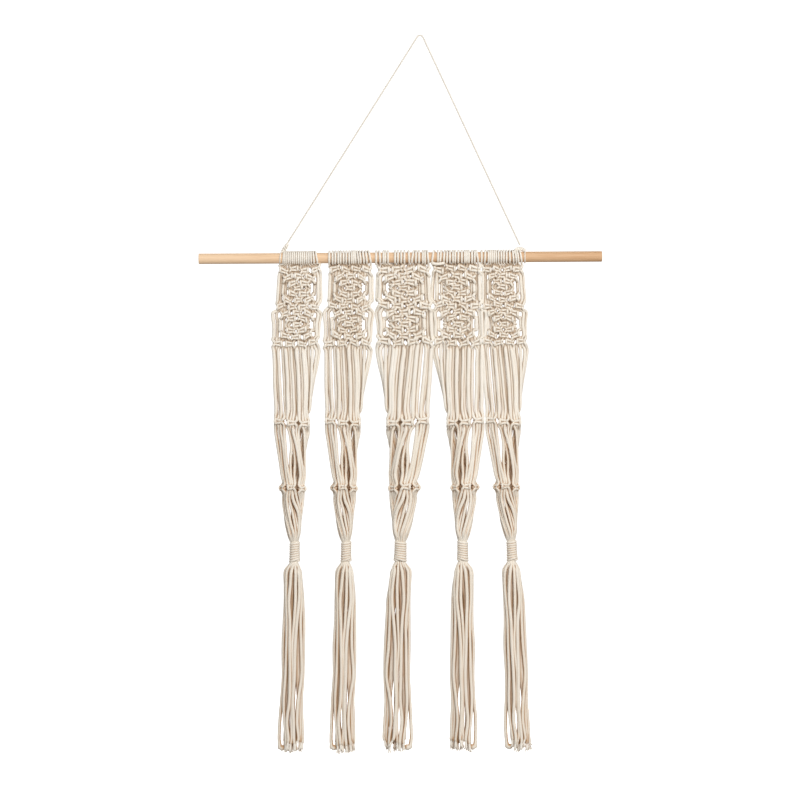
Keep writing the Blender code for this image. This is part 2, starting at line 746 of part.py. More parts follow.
def make_fringe(panel, finish):
    """The loose ends of the sixteen strands, hanging from their bound root."""
    name = f"fringe_{panel.name}"
    draw = random.Random(f"fringe {panel.name}")
    bm = bmesh.new()
    scale = binding_scale(panel)
    thick = CORD * math.sqrt(scale)
    root_drop = BINDING_BOTTOM + GAP

    def place(drop, edge, out, aside=0.0):
        return oval_place(panel, drop, neck_angle(edge), out, aside)

    outer = [bm.verts.new(place(root_drop, e, 0)) for e in range(STRANDS)]
    inner = [
        bm.verts.new(place(root_drop + ROOT_THICKNESS, e, -BOUND_DEPTH)) for e in range(STRANDS)
    ]
    rings = []
    for drop in (PLUG_BOTTOM + GAP, root_drop):
        centre = in_panel(panel, drop, Vector((0, -width_at(drop).forward, 0)))
        rings.append([bm.verts.new(p) for p in plug_ring(panel, centre)])
    bm.faces.new(rings[0])
    bm.faces.new(inner)
    for j in range(RING_SIDES):
        k = (j + 1) % RING_SIDES
        bm.faces.new((rings[0][j], rings[0][k], rings[1][k], rings[1][j]))
        across = [outer[(2 * j + 2) % STRANDS], outer[2 * j + 1], outer[2 * j]]
        bm.faces.new([rings[1][j], rings[1][k]] + across)
    for strand in range(STRANDS):
        nxt = (strand + 1) % STRANDS
        above = [outer[strand], outer[nxt], inner[nxt], inner[strand]]
        drops = (*FRINGE_DROPS, TIP_DROP + draw.uniform(-TIP_SPREAD, TIP_SPREAD))
        for drop in drops:
            sway = draw.uniform(-FRINGE_SWAY, FRINGE_SWAY)
            below = [
                bm.verts.new(place(drop, strand + 0.5, out * thick / 2, sway + aside * thick / 2))
                for aside, out in ((-1, 1), (1, 1), (1, -1), (-1, -1))
            ]
            for i in range(4):
                j = (i + 1) % 4
                bm.faces.new((above[i], above[j], below[j], below[i]))
            above = below
        bm.faces.new(above)
    return add_object(name, mesh_of(bm, name), finish)


def main():
    """Builds the hanging."""
    clear_scene()
    wood = material("rod_wood", BEECH, 0.55)
    cotton = material("cotton_cord", COTTON, 0.9)
    thin = material("hanging_cord", THIN_COTTON, 0.9)
    make_rod(wood)
    make_hanger(thin)
    for tie in TIES:
        make_tie(tie, thin)
    for panel in PANELS:
        make_panel(panel, cotton)
        make_binding(panel, cotton)
        make_fringe(panel, cotton)


main()
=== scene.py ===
"""The looks of a macrame wall hanging: five knotted panels of cotton cord on a wooden rod.

Every cord is swept as a tube along the line that it really takes: up over the rod as a lark's head,
down through the square knots of the field, round the rolled tube and into its binding. A finish is
one procedural material. Lengths are in metres and angles in degrees, unless a name says otherwise.
"""

from __future__ import annotations

import logging
import math
import random
from dataclasses import dataclass, field
from enum import Enum
from typing import Callable, Sequence

import bpy
import numpy as np
from bpy.types import Material, NodeSocket, Object
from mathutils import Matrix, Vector
from mathutils.kdtree import KDTree

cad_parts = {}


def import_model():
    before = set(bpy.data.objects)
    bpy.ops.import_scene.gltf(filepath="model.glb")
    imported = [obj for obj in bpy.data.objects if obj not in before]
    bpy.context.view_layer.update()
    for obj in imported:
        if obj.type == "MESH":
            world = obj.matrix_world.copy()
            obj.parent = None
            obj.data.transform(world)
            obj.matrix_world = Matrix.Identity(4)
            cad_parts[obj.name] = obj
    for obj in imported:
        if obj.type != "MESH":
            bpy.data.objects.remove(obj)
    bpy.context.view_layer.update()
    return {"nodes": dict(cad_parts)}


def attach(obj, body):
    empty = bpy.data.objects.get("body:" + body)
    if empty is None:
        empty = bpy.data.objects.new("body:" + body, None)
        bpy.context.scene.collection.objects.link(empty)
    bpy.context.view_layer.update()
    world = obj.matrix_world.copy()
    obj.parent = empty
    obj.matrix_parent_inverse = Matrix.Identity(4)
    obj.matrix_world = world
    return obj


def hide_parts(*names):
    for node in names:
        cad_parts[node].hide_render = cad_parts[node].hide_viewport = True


LOG = logging.getLogger("wall_hanging")

GAP = 0.0003
ROD_RADIUS = 0.008
ROD_DROP = 0.3353  # from the nail down to the middle of the rod's axis
ROD_SHIFT = -0.0298
ROD_TILT = 0.34
STRANDS = 16  # of one panel

FIRST_ROW_DROP = 0.0188
ROW_PITCH = 0.0091
LAST_ROW = 12
LAST_ROW_DROP = FIRST_ROW_DROP + LAST_ROW * ROW_PITCH
ROW_A_DROP = 0.249
ROW_B_DROP = 0.3475
BINDING_TOP = 0.4275
BINDING_BOTTOM = 0.4610
TIP_DROP = 0.7430
NECK_TURN = 120

FULL_TURN = 2 * math.pi

Point = tuple[float, float, float]


def read_between(table: Sequence[tuple[float, float]], at: float) -> float:
    """Reads a table of (place, value) straight between its rows.

    Args:
        table: The rows, in order of place.
        at: Where to read it.

    Returns:
        The value there, or the nearest end's beyond the table.
    """
    places, values = zip(*table)
    return float(np.interp(at, places, values))


def along_rod(along: float) -> Vector:
    """The point of the rod's axis at a distance from the rod's middle."""
    tilt = math.radians(ROD_TILT)
    return Vector((ROD_SHIFT + along * math.cos(tilt), 0, along * math.sin(tilt) - ROD_DROP))


def add_object(name: str, data: bpy.types.ID) -> Object:
    """Puts a mesh, light or camera into the scene.

    Args:
        name: The object's name.
        data: What it shows.

    Returns:
        The object.
    """
    obj = bpy.data.objects.new(name, data)
    bpy.context.scene.collection.objects.link(obj)
    return obj


# ---- swept cords


@dataclass(frozen=True)
class Stop:
    """A point that a cord runs through, and its radius there."""

    place: Vector
    radius: float


@dataclass
class Run:
    """The line of one cord, from stop to stop."""

    stops: list[Stop]
    tone: float = 0.0
    fine_step: float = 0.0014
    step: float = 0.0034
    fine_under: float = 0.0020

    def smooth(self) -> tuple[np.ndarray, np.ndarray]:
        """Rounds the line with a centripetal spline.

        Returns:
            The points of the line, and the radius at each.
        """
        places = np.array([stop.place for stop in self.stops])
        radii = np.array([stop.radius for stop in self.stops])
        before, after = 2 * places[0] - places[1], 2 * places[-1] - places[-2]
        spread = np.vstack([before, places, after])
        spans = np.sqrt(np.linalg.norm(np.diff(spread, axis=0), axis=1))
        knots = np.concatenate([[0], np.cumsum(np.maximum(spans, 1e-4))])
        lengths = np.linalg.norm(np.diff(places, axis=0), axis=1)
        close = np.maximum(radii[:-1], radii[1:]) < self.fine_under
        steps = np.where(close, self.fine_step, self.step)
        counts = np.maximum(1, np.ceil(lengths / steps)).astype(int)
        index = np.repeat(np.arange(len(counts)), counts)
        share = np.concatenate([np.arange(n) / n for n in counts])
        t0, t1, t2, t3 = (knots[index + i] for i in range(4))
        p0, p1, p2, p3 = (spread[index + i] for i in range(4))
        t = t1 + share * (t2 - t1)

        def mix(a: np.ndarray, b: np.ndarray, ta: np.ndarray, tb: np.ndarray) -> np.ndarray:
            """The point between two, by the spline's own measure."""
            part = ((t - ta) / (tb - ta))[:, None]
            return a * (1 - part) + b * part

        a1, a2, a3 = mix(p0, p1, t0, t1), mix(p1, p2, t1, t2), mix(p2, p3, t2, t3)
        b1, b2 = mix(a1, a2, t0, t2), mix(a2, a3, t1, t3)
        line = np.vstack([mix(b1, b2, t1, t2), places[-1]])
        radius = radii[index] * (1 - share) + radii[index + 1] * share
        return line, np.append(radius, radii[-1])


def carried_frames(line: np.ndarray) -> tuple[np.ndarray, np.ndarray, np.ndarray]:
    """Carries a cross-section along a line without letting it spin.

    Args:
        line: The points of the line.

    Returns:
        The direction, the side and the third axis at each point.
    """
    ahead = np.gradient(line, axis=0)
    ahead /= np.linalg.norm(ahead, axis=1)[:, None]
    start = Vector(ahead[0]).orthogonal().normalized()
    sides = [start]
    for before, now in zip(ahead, ahead[1:]):
        turn = Vector(before).rotation_difference(Vector(now))
        side = turn @ sides[-1]
        side -= Vector(now) * side.dot(Vector(now))
        sides.append(side.normalized())
    side = np.array(sides)
    return ahead, side, np.cross(ahead, side)


# What darkens a vertex in the painted shade between cords: from which distance to which, every
# how many points of a cord's line are counted, and how much of their facing is left out.
NEARBY = ((0.0, 0.011, 1, 0.0), (0.011, 0.026, 3, 0.4))
MOST_SHADE = 0.6  # that one point of a line can give
CAP_RISE = 0.6  # of a cord's closed end, in radii


@dataclass(frozen=True)
class Tube:
    """One swept cord: its mesh, its middle line, and the area that each point of that covers."""

    places: np.ndarray
    faces: np.ndarray
    uvs: np.ndarray
    tones: np.ndarray
    outwards: np.ndarray
    line: np.ndarray
    areas: np.ndarray


@dataclass
class CordMesh:
    """One mesh that holds many swept cords, each a closed tube with its own UVs."""

    name: str
    sides: int = 8
    tubes: list[Tube] = field(default_factory=list)
    count: int = 0

    def add(self, run: Run) -> None:
        """Sweeps one cord and closes both its ends.

        Args:
            run: The cord's line.
        """
        line, radius = run.smooth()
        ahead, side, third = carried_frames(line)
        rings, m = len(line), self.sides
        angles = 2 * np.pi * np.arange(m) / m
        rights, ups = np.cos(angles)[None, :, None], np.sin(angles)[None, :, None]
        around = rights * side[:, None] + ups * third[:, None]
        body = line[:, None] + radius[:, None, None] * around
        rises = ahead[[0, -1]] * radius[[0, -1], None] * CAP_RISE
        poles = np.array([line[0] - rises[0], line[-1] + rises[1]])
        spans = np.linalg.norm(np.diff(line, axis=0), axis=1)
        length = np.concatenate([[0], np.cumsum(spans)])
        rows = np.meshgrid(np.arange(rings - 1), np.arange(m), indexing="ij")
        i, j = (grid.ravel() for grid in rows)
        k = (j + 1) % m
        quads = np.stack([i * m + j, i * m + k, (i + 1) * m + k, (i + 1) * m + j], axis=1)
        u0, u1, v0, v1 = j / m, (j + 1) / m, length[i], length[i + 1]
        quad_uv = np.stack([u0, v0, u1, v0, u1, v1, u0, v1], axis=1).reshape(-1, 4, 2)
        ends, last = np.arange(m), (rings - 1) * m
        nxt = (ends + 1) % m
        first_cap = np.stack([np.full(m, rings * m), nxt, ends, ends], axis=1)
        last_cap = np.stack(
            [np.full(m, rings * m + 1), last + ends, last + nxt, last + nxt], axis=1
        )
        cap_uv = np.stack([ends / m, np.zeros(m)], axis=1)[:, None].repeat(4, axis=1)
        self.tubes.append(Tube(
            np.vstack([body.reshape(-1, 3), poles]),
            np.vstack([quads, first_cap, last_cap]) + self.count,
            np.concatenate([quad_uv, cap_uv, cap_uv + [0, length[-1]]]),
            np.full(rings * m + 2, run.tone),
            np.vstack([around.reshape(-1, 3), -ahead[:1], ahead[-1:]]),
            line,
            2 * radius * np.gradient(length),
        ))
        self.count += rings * m + 2

    def joined(self, part: str) -> np.ndarray:
        """One part of every tube, in a row."""
        return np.concatenate([getattr(tube, part) for tube in self.tubes])

    def shade(self) -> np.ndarray:
        """How much of what each vertex faces is other cord close by, from 0 to 1, painted as shade.

        Returns:
            The share at each vertex.
        """
        middles, areas, m = self.joined("line"), self.joined("areas"), self.sides
        shares = [np.zeros((len(tube.line), m)) for tube in self.tubes]
        for nearest, reach, each, least in NEARBY:
            sources, weights = middles[::each], areas[::each] * each
            tree = KDTree(len(sources))
            for i, source in enumerate(sources):
                tree.insert(source, i)
            tree.balance()
            for tube, share in zip(self.tubes, shares):
                found = [[hit[1] for hit in tree.find_range(spot, reach)] for spot in tube.line]
                here = np.repeat(np.arange(len(found)), [len(hits) for hits in found])
                there = np.concatenate(found).astype(int)
                away = sources[there][:, None] - tube.places[:-2].reshape(-1, m, 3)[here]
                far = np.linalg.norm(away, axis=2)
                outward = tube.outwards[:-2].reshape(-1, m, 3)[here]
                facing = (away * outward).sum(axis=2) / far
                seen = np.minimum(weights[there][:, None] / (np.pi * far**2), MOST_SHADE)
                seen = seen * np.maximum(facing - least, 0)
                np.add.at(share, here, seen * (far > nearest) / (1 - least))
        shares = [np.append(share.ravel(), (share[0].mean(), share[-1].mean())) for share in shares]
        return np.minimum(np.concatenate(shares), 1.0)

    def build(self) -> Object:
        """Makes the object.

        Returns:
            The object, smooth-shaded, with its UV map and its tone and shade attributes.
        """
        places, faces, uvs = (self.joined(part) for part in ("places", "faces", "uvs"))
        corners = np.where(faces[:, 2] == faces[:, 3], 3, 4)
        used = np.arange(4)[None, :] < corners[:, None]
        mesh = bpy.data.meshes.new(self.name)
        mesh.vertices.add(len(places))
        mesh.vertices.foreach_set("co", places.astype(np.float32).ravel())
        mesh.loops.add(int(corners.sum()))
        mesh.loops.foreach_set("vertex_index", faces[used].astype(np.int32))
        mesh.polygons.add(len(faces))
        mesh.polygons.foreach_set("loop_start", (np.cumsum(corners) - corners).astype(np.int32))
        mesh.uv_layers.new(name="cord")
        mesh.uv_layers["cord"].uv.foreach_set("vector", uvs[used].astype(np.float32).ravel())
        for name, values in (("tone", self.joined("tones")), ("shade", self.shade())):
            attribute = mesh.attributes.new(name, "FLOAT", "POINT")
            attribute.data.foreach_set("value", values.astype(np.float32))
        mesh.update(calc_edges=True)
        mesh.validate()
        mesh.shade_smooth()
        return add_object(self.name, mesh)


# ---- shader sums


def summing(operation: str, swapped: bool = False) -> Callable[[Wire, Wire | float], Wire]:
    """An operator of a wire that adds one Math node.

    Args:
        operation: The node's operation.
        swapped: Whether the other value comes first.

    Returns:
        The method.
    """

    def method(self: Wire, other: Wire | float = 0.0) -> Wire:
        """Adds the Math node on the two values."""
        first, second = (other, self) if swapped else (self, other)
        return self.graph.node("ShaderNodeMath", {"operation": operation}, {0: first, 1: second})

    return method


@dataclass(frozen=True)
class Wire:
    """A shader value or colour that takes part in Python sums by adding nodes."""

    graph: Graph
    socket: NodeSocket

    __add__, __radd__ = summing("ADD"), summing("ADD", True)
    __sub__, __rsub__ = summing("SUBTRACT"), summing("SUBTRACT", True)
    __mul__, __rmul__ = summing("MULTIPLY"), summing("MULTIPLY", True)
    sine = summing("SINE")

    def clamped(self) -> Wire:
        """The value kept between 0 and 1."""
        return self.graph.node("ShaderNodeClamp", {}, {0: self})


@dataclass
class Graph:
    """The nodes of one material."""

    material: Material

    @classmethod
    def start(cls, name: str) -> Graph:
        """A new material with its principled shader.

        Args:
            name: The material's name.

        Returns:
            Its graph.
        """
        made = bpy.data.materials.new(name)
        made.use_nodes = True
        return cls(made)

    def node(self, kind: str, settings: dict, values: dict, output: int | str = 0) -> Wire:
        """Adds a node.

        Args:
            kind: The node's type.
            settings: Its own settings, which are set first.
            values: A value or a wire for each of its sockets.
            output: Which of its outputs to give.

        Returns:
            That output.
        """
        made = self.material.node_tree.nodes.new(kind)
        for key, value in settings.items():
            setattr(made, key, value)
        for key, value in values.items():
            self.feed(made.inputs[key], value)
        return Wire(self, made.outputs[output])

    def feed(self, socket: NodeSocket, value: Wire | float | Sequence[float]) -> None:
        """Sets a socket, or links a wire to it.

        Args:
            socket: The socket.
            value: What it gets.
        """
        if isinstance(value, Wire):
            self.material.node_tree.links.new(value.socket, socket)
        else:
            socket.default_value = value

    def object_place(self, scale: Point = (1, 1, 1), turn: Point = (0, 0, 0)) -> Wire:
        """Object coordinates, turned and scaled by a Mapping node.

        Args:
            scale: The pattern's size along each axis.
            turn: Its turn round each, in radians.

        Returns:
            The coordinates.
        """
        place = self.node("ShaderNodeTexCoord", {}, {}, "Object")
        return self.node(
            "ShaderNodeMapping", {"vector_type": "TEXTURE"},
            {"Vector": place, "Scale": scale, "Rotation": turn},
        )

    def noise(self, place: Wire, scale: float, detail: float = 3.0, rough: float = 0.5) -> Wire:
        """A noise value on a place.

        Args:
            place: Where it is read.
            scale: How fine it is.
            detail: How many finer layers it has.
            rough: How strong they are.

        Returns:
            The value.
        """
        return self.node(
            "ShaderNodeTexNoise", {},
            {"Vector": place, "Scale": scale, "Detail": detail, "Roughness": rough},
        )

    def blend(self, share: Wire, low: Wire | Point, high: Wire | Point) -> Wire:
        """A colour between two.

        Args:
            share: How much of the second there is, from 0 to 1.
            low: The first.
            high: The second.

        Returns:
            The colour.
        """
        ends = [end if isinstance(end, Wire) else rgba(end) for end in (low, high)]
        return self.node(
            "ShaderNodeMix", {"data_type": "RGBA"}, {0: share, 6: ends[0], 7: ends[1]}, 2
        )

    def split(self, vector: Wire) -> tuple[Wire, Wire, Wire]:
        """The three numbers of a vector.

        Args:
            vector: The vector.

        Returns:
            Its x, y and z.
        """
        parts = self.material.node_tree.nodes.new("ShaderNodeSeparateXYZ")
        self.feed(parts.inputs[0], vector)
        x, y, z = (Wire(self, output) for output in parts.outputs)
        return x, y, z

    def dress(self, **values: Wire | float | Sequence[float]) -> Material:
        """Feeds the principled shader's sockets.

        Args:
            **values: What each gets, by its name with _ for a space.

        Returns:
            The material.
        """
        shader = self.material.node_tree.nodes["Principled BSDF"]
        for key, value in values.items():
            self.feed(shader.inputs[key.replace("_", " ")], value)
        return self.material


def rgba(colour: Point) -> tuple[float, float, float, float]:
    """A solid colour."""
    return (*colour, 1.0)


# ---- finishes


# How a share of colour changes with height, and its value at the nail. The lower comes in below
# the knotted fields: it warms the cord and makes its painted shade browner. The upper comes in
# above them, on the turns over the rod: it makes the cord paler and gives it less painted shade.
LOWER_SHARE = (-8.0, -4.2)
UPPER_SHARE = (60.0, 21.2)


@dataclass(frozen=True)
class CottonFinish:
    """Soft cotton cord: plies twisted round each other, fine fibre and uneven cream.

    pale and warm are the cord in the light, and deep is the painted shade of cord between others,
    which is warmer in the fringe. gain is how fast the colour turns to that painted shade with the
    shade attribute.
    """

    name: str
    pale: Point = (0.882, 0.86, 0.802)
    warm: Point = (0.79, 0.718, 0.612)
    deep: Point = (0.575, 0.468, 0.358)
    low_painted_shade: Point = (0.55, 0.345, 0.19)
    gain: float = 1.6
    ply_pitch: float = 0.0023
    ply_depth: float = 0.00022
    patch_scale: float = 55.0
    fibre_scale: float = 2600.0

    def material(self) -> Material:
        """Makes the material.

        Returns:
            The material, which reads the cord's UV map, its tone and its painted shade.
        """
        graph = Graph.start(self.name)
        around, along, _ = graph.split(graph.node("ShaderNodeUVMap", {"uv_map": "cord"}, {}))
        place = graph.object_place()
        tone = graph.node("ShaderNodeAttribute", {"attribute_name": "tone"}, {}, "Fac")
        wander = graph.noise(place, self.patch_scale, 2.0) - 0.5
        fibre = graph.noise(place, self.fibre_scale, 2.0, 0.6)
        twist = ((along * (1 / self.ply_pitch) + around) * FULL_TURN).sine() * 0.5 + 0.5
        shade = graph.node("ShaderNodeAttribute", {"attribute_name": "shade"}, {}, "Fac")
        # The shade attribute also warms the colour as painted shade, and the grooves between the
        # plies, where twist is low, are painted warmer as shade too.
        share = tone + wander * 0.7 + (fibre - 0.5) * 0.35 - twist * 0.10 + shade * 0.5 + 0.25
        _, _, height = graph.split(place)
        low, high = (
            (height * rate + start).clamped() for rate, start in (LOWER_SHARE, UPPER_SHARE)
        )
        near = graph.blend((share + low * 0.26 - high * 0.4).clamped(), self.pale, self.warm)
        deep = graph.blend(low, self.deep, self.low_painted_shade)
        # Painted shade: how far the colour turns to deep, more with the shade attribute, less for a
        # low tone and on the turns over the rod.
        depth = (shade - 0.25 + tone * 0.4) * self.gain - high * 0.25
        colour = graph.blend(depth.clamped(), near, deep)
        ply = graph.node(
            "ShaderNodeBump", {}, {"Strength": 0.55, "Distance": self.ply_depth, "Height": twist}
        )
        soft = graph.node(
            "ShaderNodeBump", {},
            {"Strength": 0.35, "Distance": 0.00012, "Height": fibre, "Normal": ply},
        )
        return graph.dress(
            Base_Color=colour, Roughness=0.82 + fibre * 0.14, Normal=soft,
            Sheen_Weight=0.08, Sheen_Roughness=0.5, Specular_IOR_Level=0.2,
        )


@dataclass(frozen=True)
class WoodFinish:
    """Pale sanded dowel with its grain along the rod."""

    name: str = "sanded_dowel"
    light: Point = (0.86, 0.64, 0.435)
    dark: Point = (0.62, 0.385, 0.215)
    streaks: Point = (0.14, 0.006, 0.006)
    pores: Point = (0.012, 0.0006, 0.0006)
    bands: Point = (0.30, 0.02, 0.02)

    def material(self) -> Material:
        """Makes the material.

        Returns:
            The material, on Object coordinates turned to the rod's tilt.
        """
        graph = Graph.start(self.name)
        turn = (0.0, -math.radians(ROD_TILT), 0.0)
        streak = graph.noise(graph.object_place(self.streaks, turn), 3.2, 5.0, 0.62)
        pores = graph.noise(graph.object_place(self.pores, turn), 1.0, 2.0)
        band = graph.noise(graph.object_place(self.bands, turn), 1.0, 2.0)
        along, _, _ = graph.split(graph.object_place())
        share = streak * 1.3 - 0.25 + (pores - 0.5) * 0.35 + (band - 0.5) * 0.5
        # The wood is painted darker towards the rod's right end.
        share = share + along * 1.75 + 0.07
        bump = graph.node(
            "ShaderNodeBump", {}, {"Strength": 0.25, "Distance": 0.0002, "Height": pores}
        )
        return graph.dress(
            Base_Color=graph.blend(share.clamped(), self.light, self.dark),
            Roughness=0.48 + streak * 0.16, Normal=bump, Specular_IOR_Level=0.35,
        )


@dataclass(frozen=True)
class Finishes:
    """The materials that the pieces share."""

    cotton: Material
    twine: Material
    wood: Material

    @classmethod
    def make(cls) -> Finishes:
        """Makes all three.

        Returns:
            The materials.
        """
        cotton = CottonFinish("cotton_cord")
        # The twine's darker, greyer second colour is mostly the hanging line's painted shade, which
        # its high tone reaches.
        twine = CottonFinish(
            "thin_cotton_twine", (0.86, 0.83, 0.765), (0.58, 0.56, 0.515), gain=0.6,
            ply_pitch=0.0016, ply_depth=0.00012,
        )
        return cls(cotton.material(), twine.material(), WoodFinish().material())


def settle(obj: Object, finish: Material, slot: str, *nodes: str) -> None:
    """Gives a piece its finish and its place in the model.

    Args:
        obj: The piece.
        finish: Its material.
        slot: The record's material slot that it belongs to, which is not used.
        *nodes: The CAD nodes that it stands for.
    """
    obj.data.materials.clear()
    obj.data.materials.append(finish)
    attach(obj, "root")
    if nodes:
        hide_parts(*nodes)


# ---- the hanging cord and its ties


@dataclass(frozen=True)
class Tie:
    """One end of the hanging cord: its turns on the rod and the knot that it is twisted into.

    A turn is its place along the rod at the top and at the foot. The twist and the tails are lines
    of (along the rod, in front, above the rod's axis). All are in millimetres. lie is the way,
    along and up, that the twisted cords lie beside each other.
    """

    name: str
    knot_at: float
    knot_height: float
    turns: tuple[tuple[float, float], ...]
    twist: tuple[Point, ...]
    lie: tuple[float, float]
    tails: tuple[tuple[Point, ...], ...]

    knot_radius = 0.0030
    cord_radius = 0.0009
    knot_cord_radius = 0.0015
    twist_phase, twist_turns, twist_steps = 0.4, 2.2, 30
    # The knot's low tone makes it paler than the line and gives it less painted shade.
    twist_tone = -0.3

    def knot_middle(self) -> Vector:
        """The middle of the knot."""
        return along_rod(self.knot_at) + Vector((0, 0, self.knot_height))

    def place(self, point: Point) -> Vector:
        """The place of a point given in millimetres."""
        along, front, height = point
        return along_rod(along / 1000) + Vector((0, -front / 1000, height / 1000))

    def stop(self, point: Point) -> Stop:
        """A stop of the thin cord at a point given in millimetres."""
        return Stop(self.place(point), self.cord_radius)

    def turn_stops(self) -> list[Stop]:
        """The line round the rod and over it.

        Returns:
            The stops of the cord.
        """
        reach = 1000 * (ROD_RADIUS + GAP + self.cord_radius)
        stops = [self.stop(self.twist[0])]
        for number, (top, foot) in enumerate(self.turns):
            last = number == len(self.turns) - 1
            after = self.turns[-1 if last else number + 1][0]
            for degrees in range(25 if number == 0 else -5, 336 if last else 345, 20):
                half = degrees / 180
                low, high, share = (top, foot, half) if half < 1 else (foot, after, half - 1)
                along, angle = low + (high - low) * share, math.radians(degrees)
                stops.append(self.stop((along, reach * math.sin(angle), reach * math.cos(angle))))
        end = stops[0].place + Vector((0, 0.0010, 0.0004))
        return [*stops, Stop(end, self.cord_radius)]

    def twist_stops(self, phase: float) -> list[Stop]:
        """One of the two cords that are twisted together into the knot.

        Args:
            phase: Where it starts round the other, in radians.

        Returns:
            The stops of the cord.
        """
        stops = []
        shares = np.linspace(0, 1, len(self.twist))
        for i in range(self.twist_steps + 1):
            share = i / self.twist_steps
            along, front, height = (np.interp(share, shares, axis) for axis in zip(*self.twist))
            angle = phase + FULL_TURN * self.twist_turns * share
            swell = 0.5 + 1.5 * math.sin(math.pi * share) ** 0.6  # from the twist's middle line
            aside = swell * math.cos(angle)
            spot = (
                along + aside * self.lie[0], front + swell * math.sin(angle),
                height + aside * self.lie[1],
            )
            stops.append(Stop(self.place(spot), self.knot_cord_radius))
        return stops

    def build(self, finishes: Finishes) -> None:
        """Makes the tie.

        Args:
            finishes: The shared materials.
        """
        mesh = CordMesh(f"{self.name}_cord")
        mesh.add(Run(self.turn_stops(), fine_step=0.001))
        for phase in (self.twist_phase, math.pi + self.twist_phase):
            mesh.add(Run(self.twist_stops(phase), self.twist_tone, fine_step=0.0007))
        for tail in self.tails:
            stops = [Stop(self.place(point), self.cord_radius * 0.95) for point in tail]
            mesh.add(Run(stops, fine_step=0.001))
        settle(mesh.build(), finishes.twine, "hanging_cord", self.name)
        LOG.info("%s: %d turns and a knot", self.name, len(self.turns))


@dataclass(frozen=True)
class HangingCord:
    """The thin cord that runs from one tie over the nail to the other."""

    radius: float = 0.00115
    bend: float = 0.0048  # its middle's radius over the nail
    leg_points: int = 18
    bend_points: int = 7
    # A tone this high paints the line darker and greyer than the same twine in its ties, as painted
    # shade on the thin cord.
    tone: float = 0.6
    ties: tuple[Tie, ...] = (
        Tie(
            "tie_left", -0.1737, 0.0183, ((-180.2, -182.8), (-176.0, -178.4)),
            ((-178.2, 1.0, 8.8), (-176.6, 0.8, 12.6), (-173.4, 0.4, 17.0), (-170.8, 0.0, 21.8)),
            (0.9, -0.45), (),
        ),
        Tie(
            "tie_right", 0.1822, 0.0152, ((188.1, 188.4),),
            ((188.6, 1.4, 9.8), (184.0, 1.6, 11.8), (178.6, 1.8, 12.2), (173.8, 3.2, 11.4)),
            (0.35, 0.95), (((175.2, 2.8, 11.0), (172.4, 7.0, 8.8), (171.2, 9.9, 4.0)),),
        ),
    )

    def tangent(self, centre: Vector, point: Vector, turn: int) -> tuple[Vector, float]:
        """Where the straight line from a point meets the bend over the nail.

        Args:
            centre: The middle of the bend.
            point: Where the line comes from.
            turn: 1 or -1, for the side that it meets.

        Returns:
            The place and its angle round the bend, in radians.
        """
        away = point - centre
        angle = math.atan2(away.z, away.x) + turn * math.acos(self.bend / away.length)
        return centre + self.bend * Vector((math.cos(angle), 0, math.sin(angle))), angle

    def route(self) -> list[Vector]:
        """The cord's middle line, from the left knot over the nail to the right.

        Returns:
            Its points.
        """
        centre = Vector((0, 0, self.radius - self.bend))
        feet = [tie.knot_middle() for tie in self.ties]
        left, left_angle = self.tangent(centre, feet[0], -1)
        right, right_angle = self.tangent(centre, feet[1], 1)
        clear = Tie.knot_radius + GAP
        ends = [foot + (top - foot).normalized() * clear for foot, top in zip(feet, (left, right))]
        left_angle %= FULL_TURN
        right_angle %= FULL_TURN
        down, up = [
            [low.lerp(high, i / self.leg_points) for i in range(self.leg_points)]
            for low, high in zip(ends, (left, right))
        ]
        steps = self.bend_points - 1
        angles = [left_angle + (right_angle - left_angle) * i / steps for i in range(steps + 1)]
        over = [centre + self.bend * Vector((math.cos(a), 0, math.sin(a))) for a in angles]
        return down + over + up[::-1]

    def build(self, finishes: Finishes) -> None:
        """Args:
            finishes: The shared materials.
        """
        route = self.route()
        mesh = CordMesh("hanging_cord_line")
        mesh.add(Run([Stop(point, self.radius) for point in route], self.tone, fine_step=0.0024))
        line = mesh.build()
        settle(line, finishes.twine, "hanging_cord", "hanger_cord")
        for tie in self.ties:
            tie.build(finishes)


# ---- square knots


class Role(Enum):
    """What a strand does in a square knot, counted from the knot's left."""

    WRAPPER = 0
    LEFT_CORE = 1
    RIGHT_CORE = 2
    LOCKER = 3


# Half of each strand's way through a knot, in cord diameters: right, front and up from its middle.
# The wrapper lies over the cores twice. The locker runs behind them and holds it at both sides.
UPPER_HALF: dict[Role, tuple[Point, ...]] = {
    Role.WRAPPER: (
        (-1.72, 0.05, 1.30), (-1.60, 0.40, 0.98), (-1.10, 0.80, 0.74), (-0.45, 0.98, 0.60),
        (0.35, 0.98, 0.50), (0.98, 0.74, 0.44), (1.42, 0.36, 0.28), (1.52, 0.20, 0.0),
    ),
    Role.LOCKER: (
        (1.86, 0.35, 1.30), (1.78, 0.95, 0.86), (1.36, 1.22, 0.44), (1.02, 0.55, 0.16),
        (0.90, -0.40, 0.30), (0.40, -0.90, 0.45), (-0.40, -0.92, 0.55), (-1.00, -0.50, 0.80),
        (-1.34, 0.30, 1.06), (-1.38, 1.10, 0.72), (-1.40, 1.36, 0.24),
    ),
    Role.LEFT_CORE: ((-0.52, 0.05, 1.30), (-0.54, 0.52, 0.0)),
    Role.RIGHT_CORE: ((0.52, 0.05, 1.30), (0.50, 0.46, 0.0)),
}


def knot_line(role: Role) -> list[Point]:
    """A strand's whole way through a knot, which is the same upside down.

    Args:
        role: What the strand does in it.

    Returns:
        The points of the way.
    """
    upper = UPPER_HALF[role]
    lower = [(right, front, -up) for right, front, up in upper[::-1]]
    return [*upper, *(lower[1:] if upper[-1][2] == 0 else lower)]


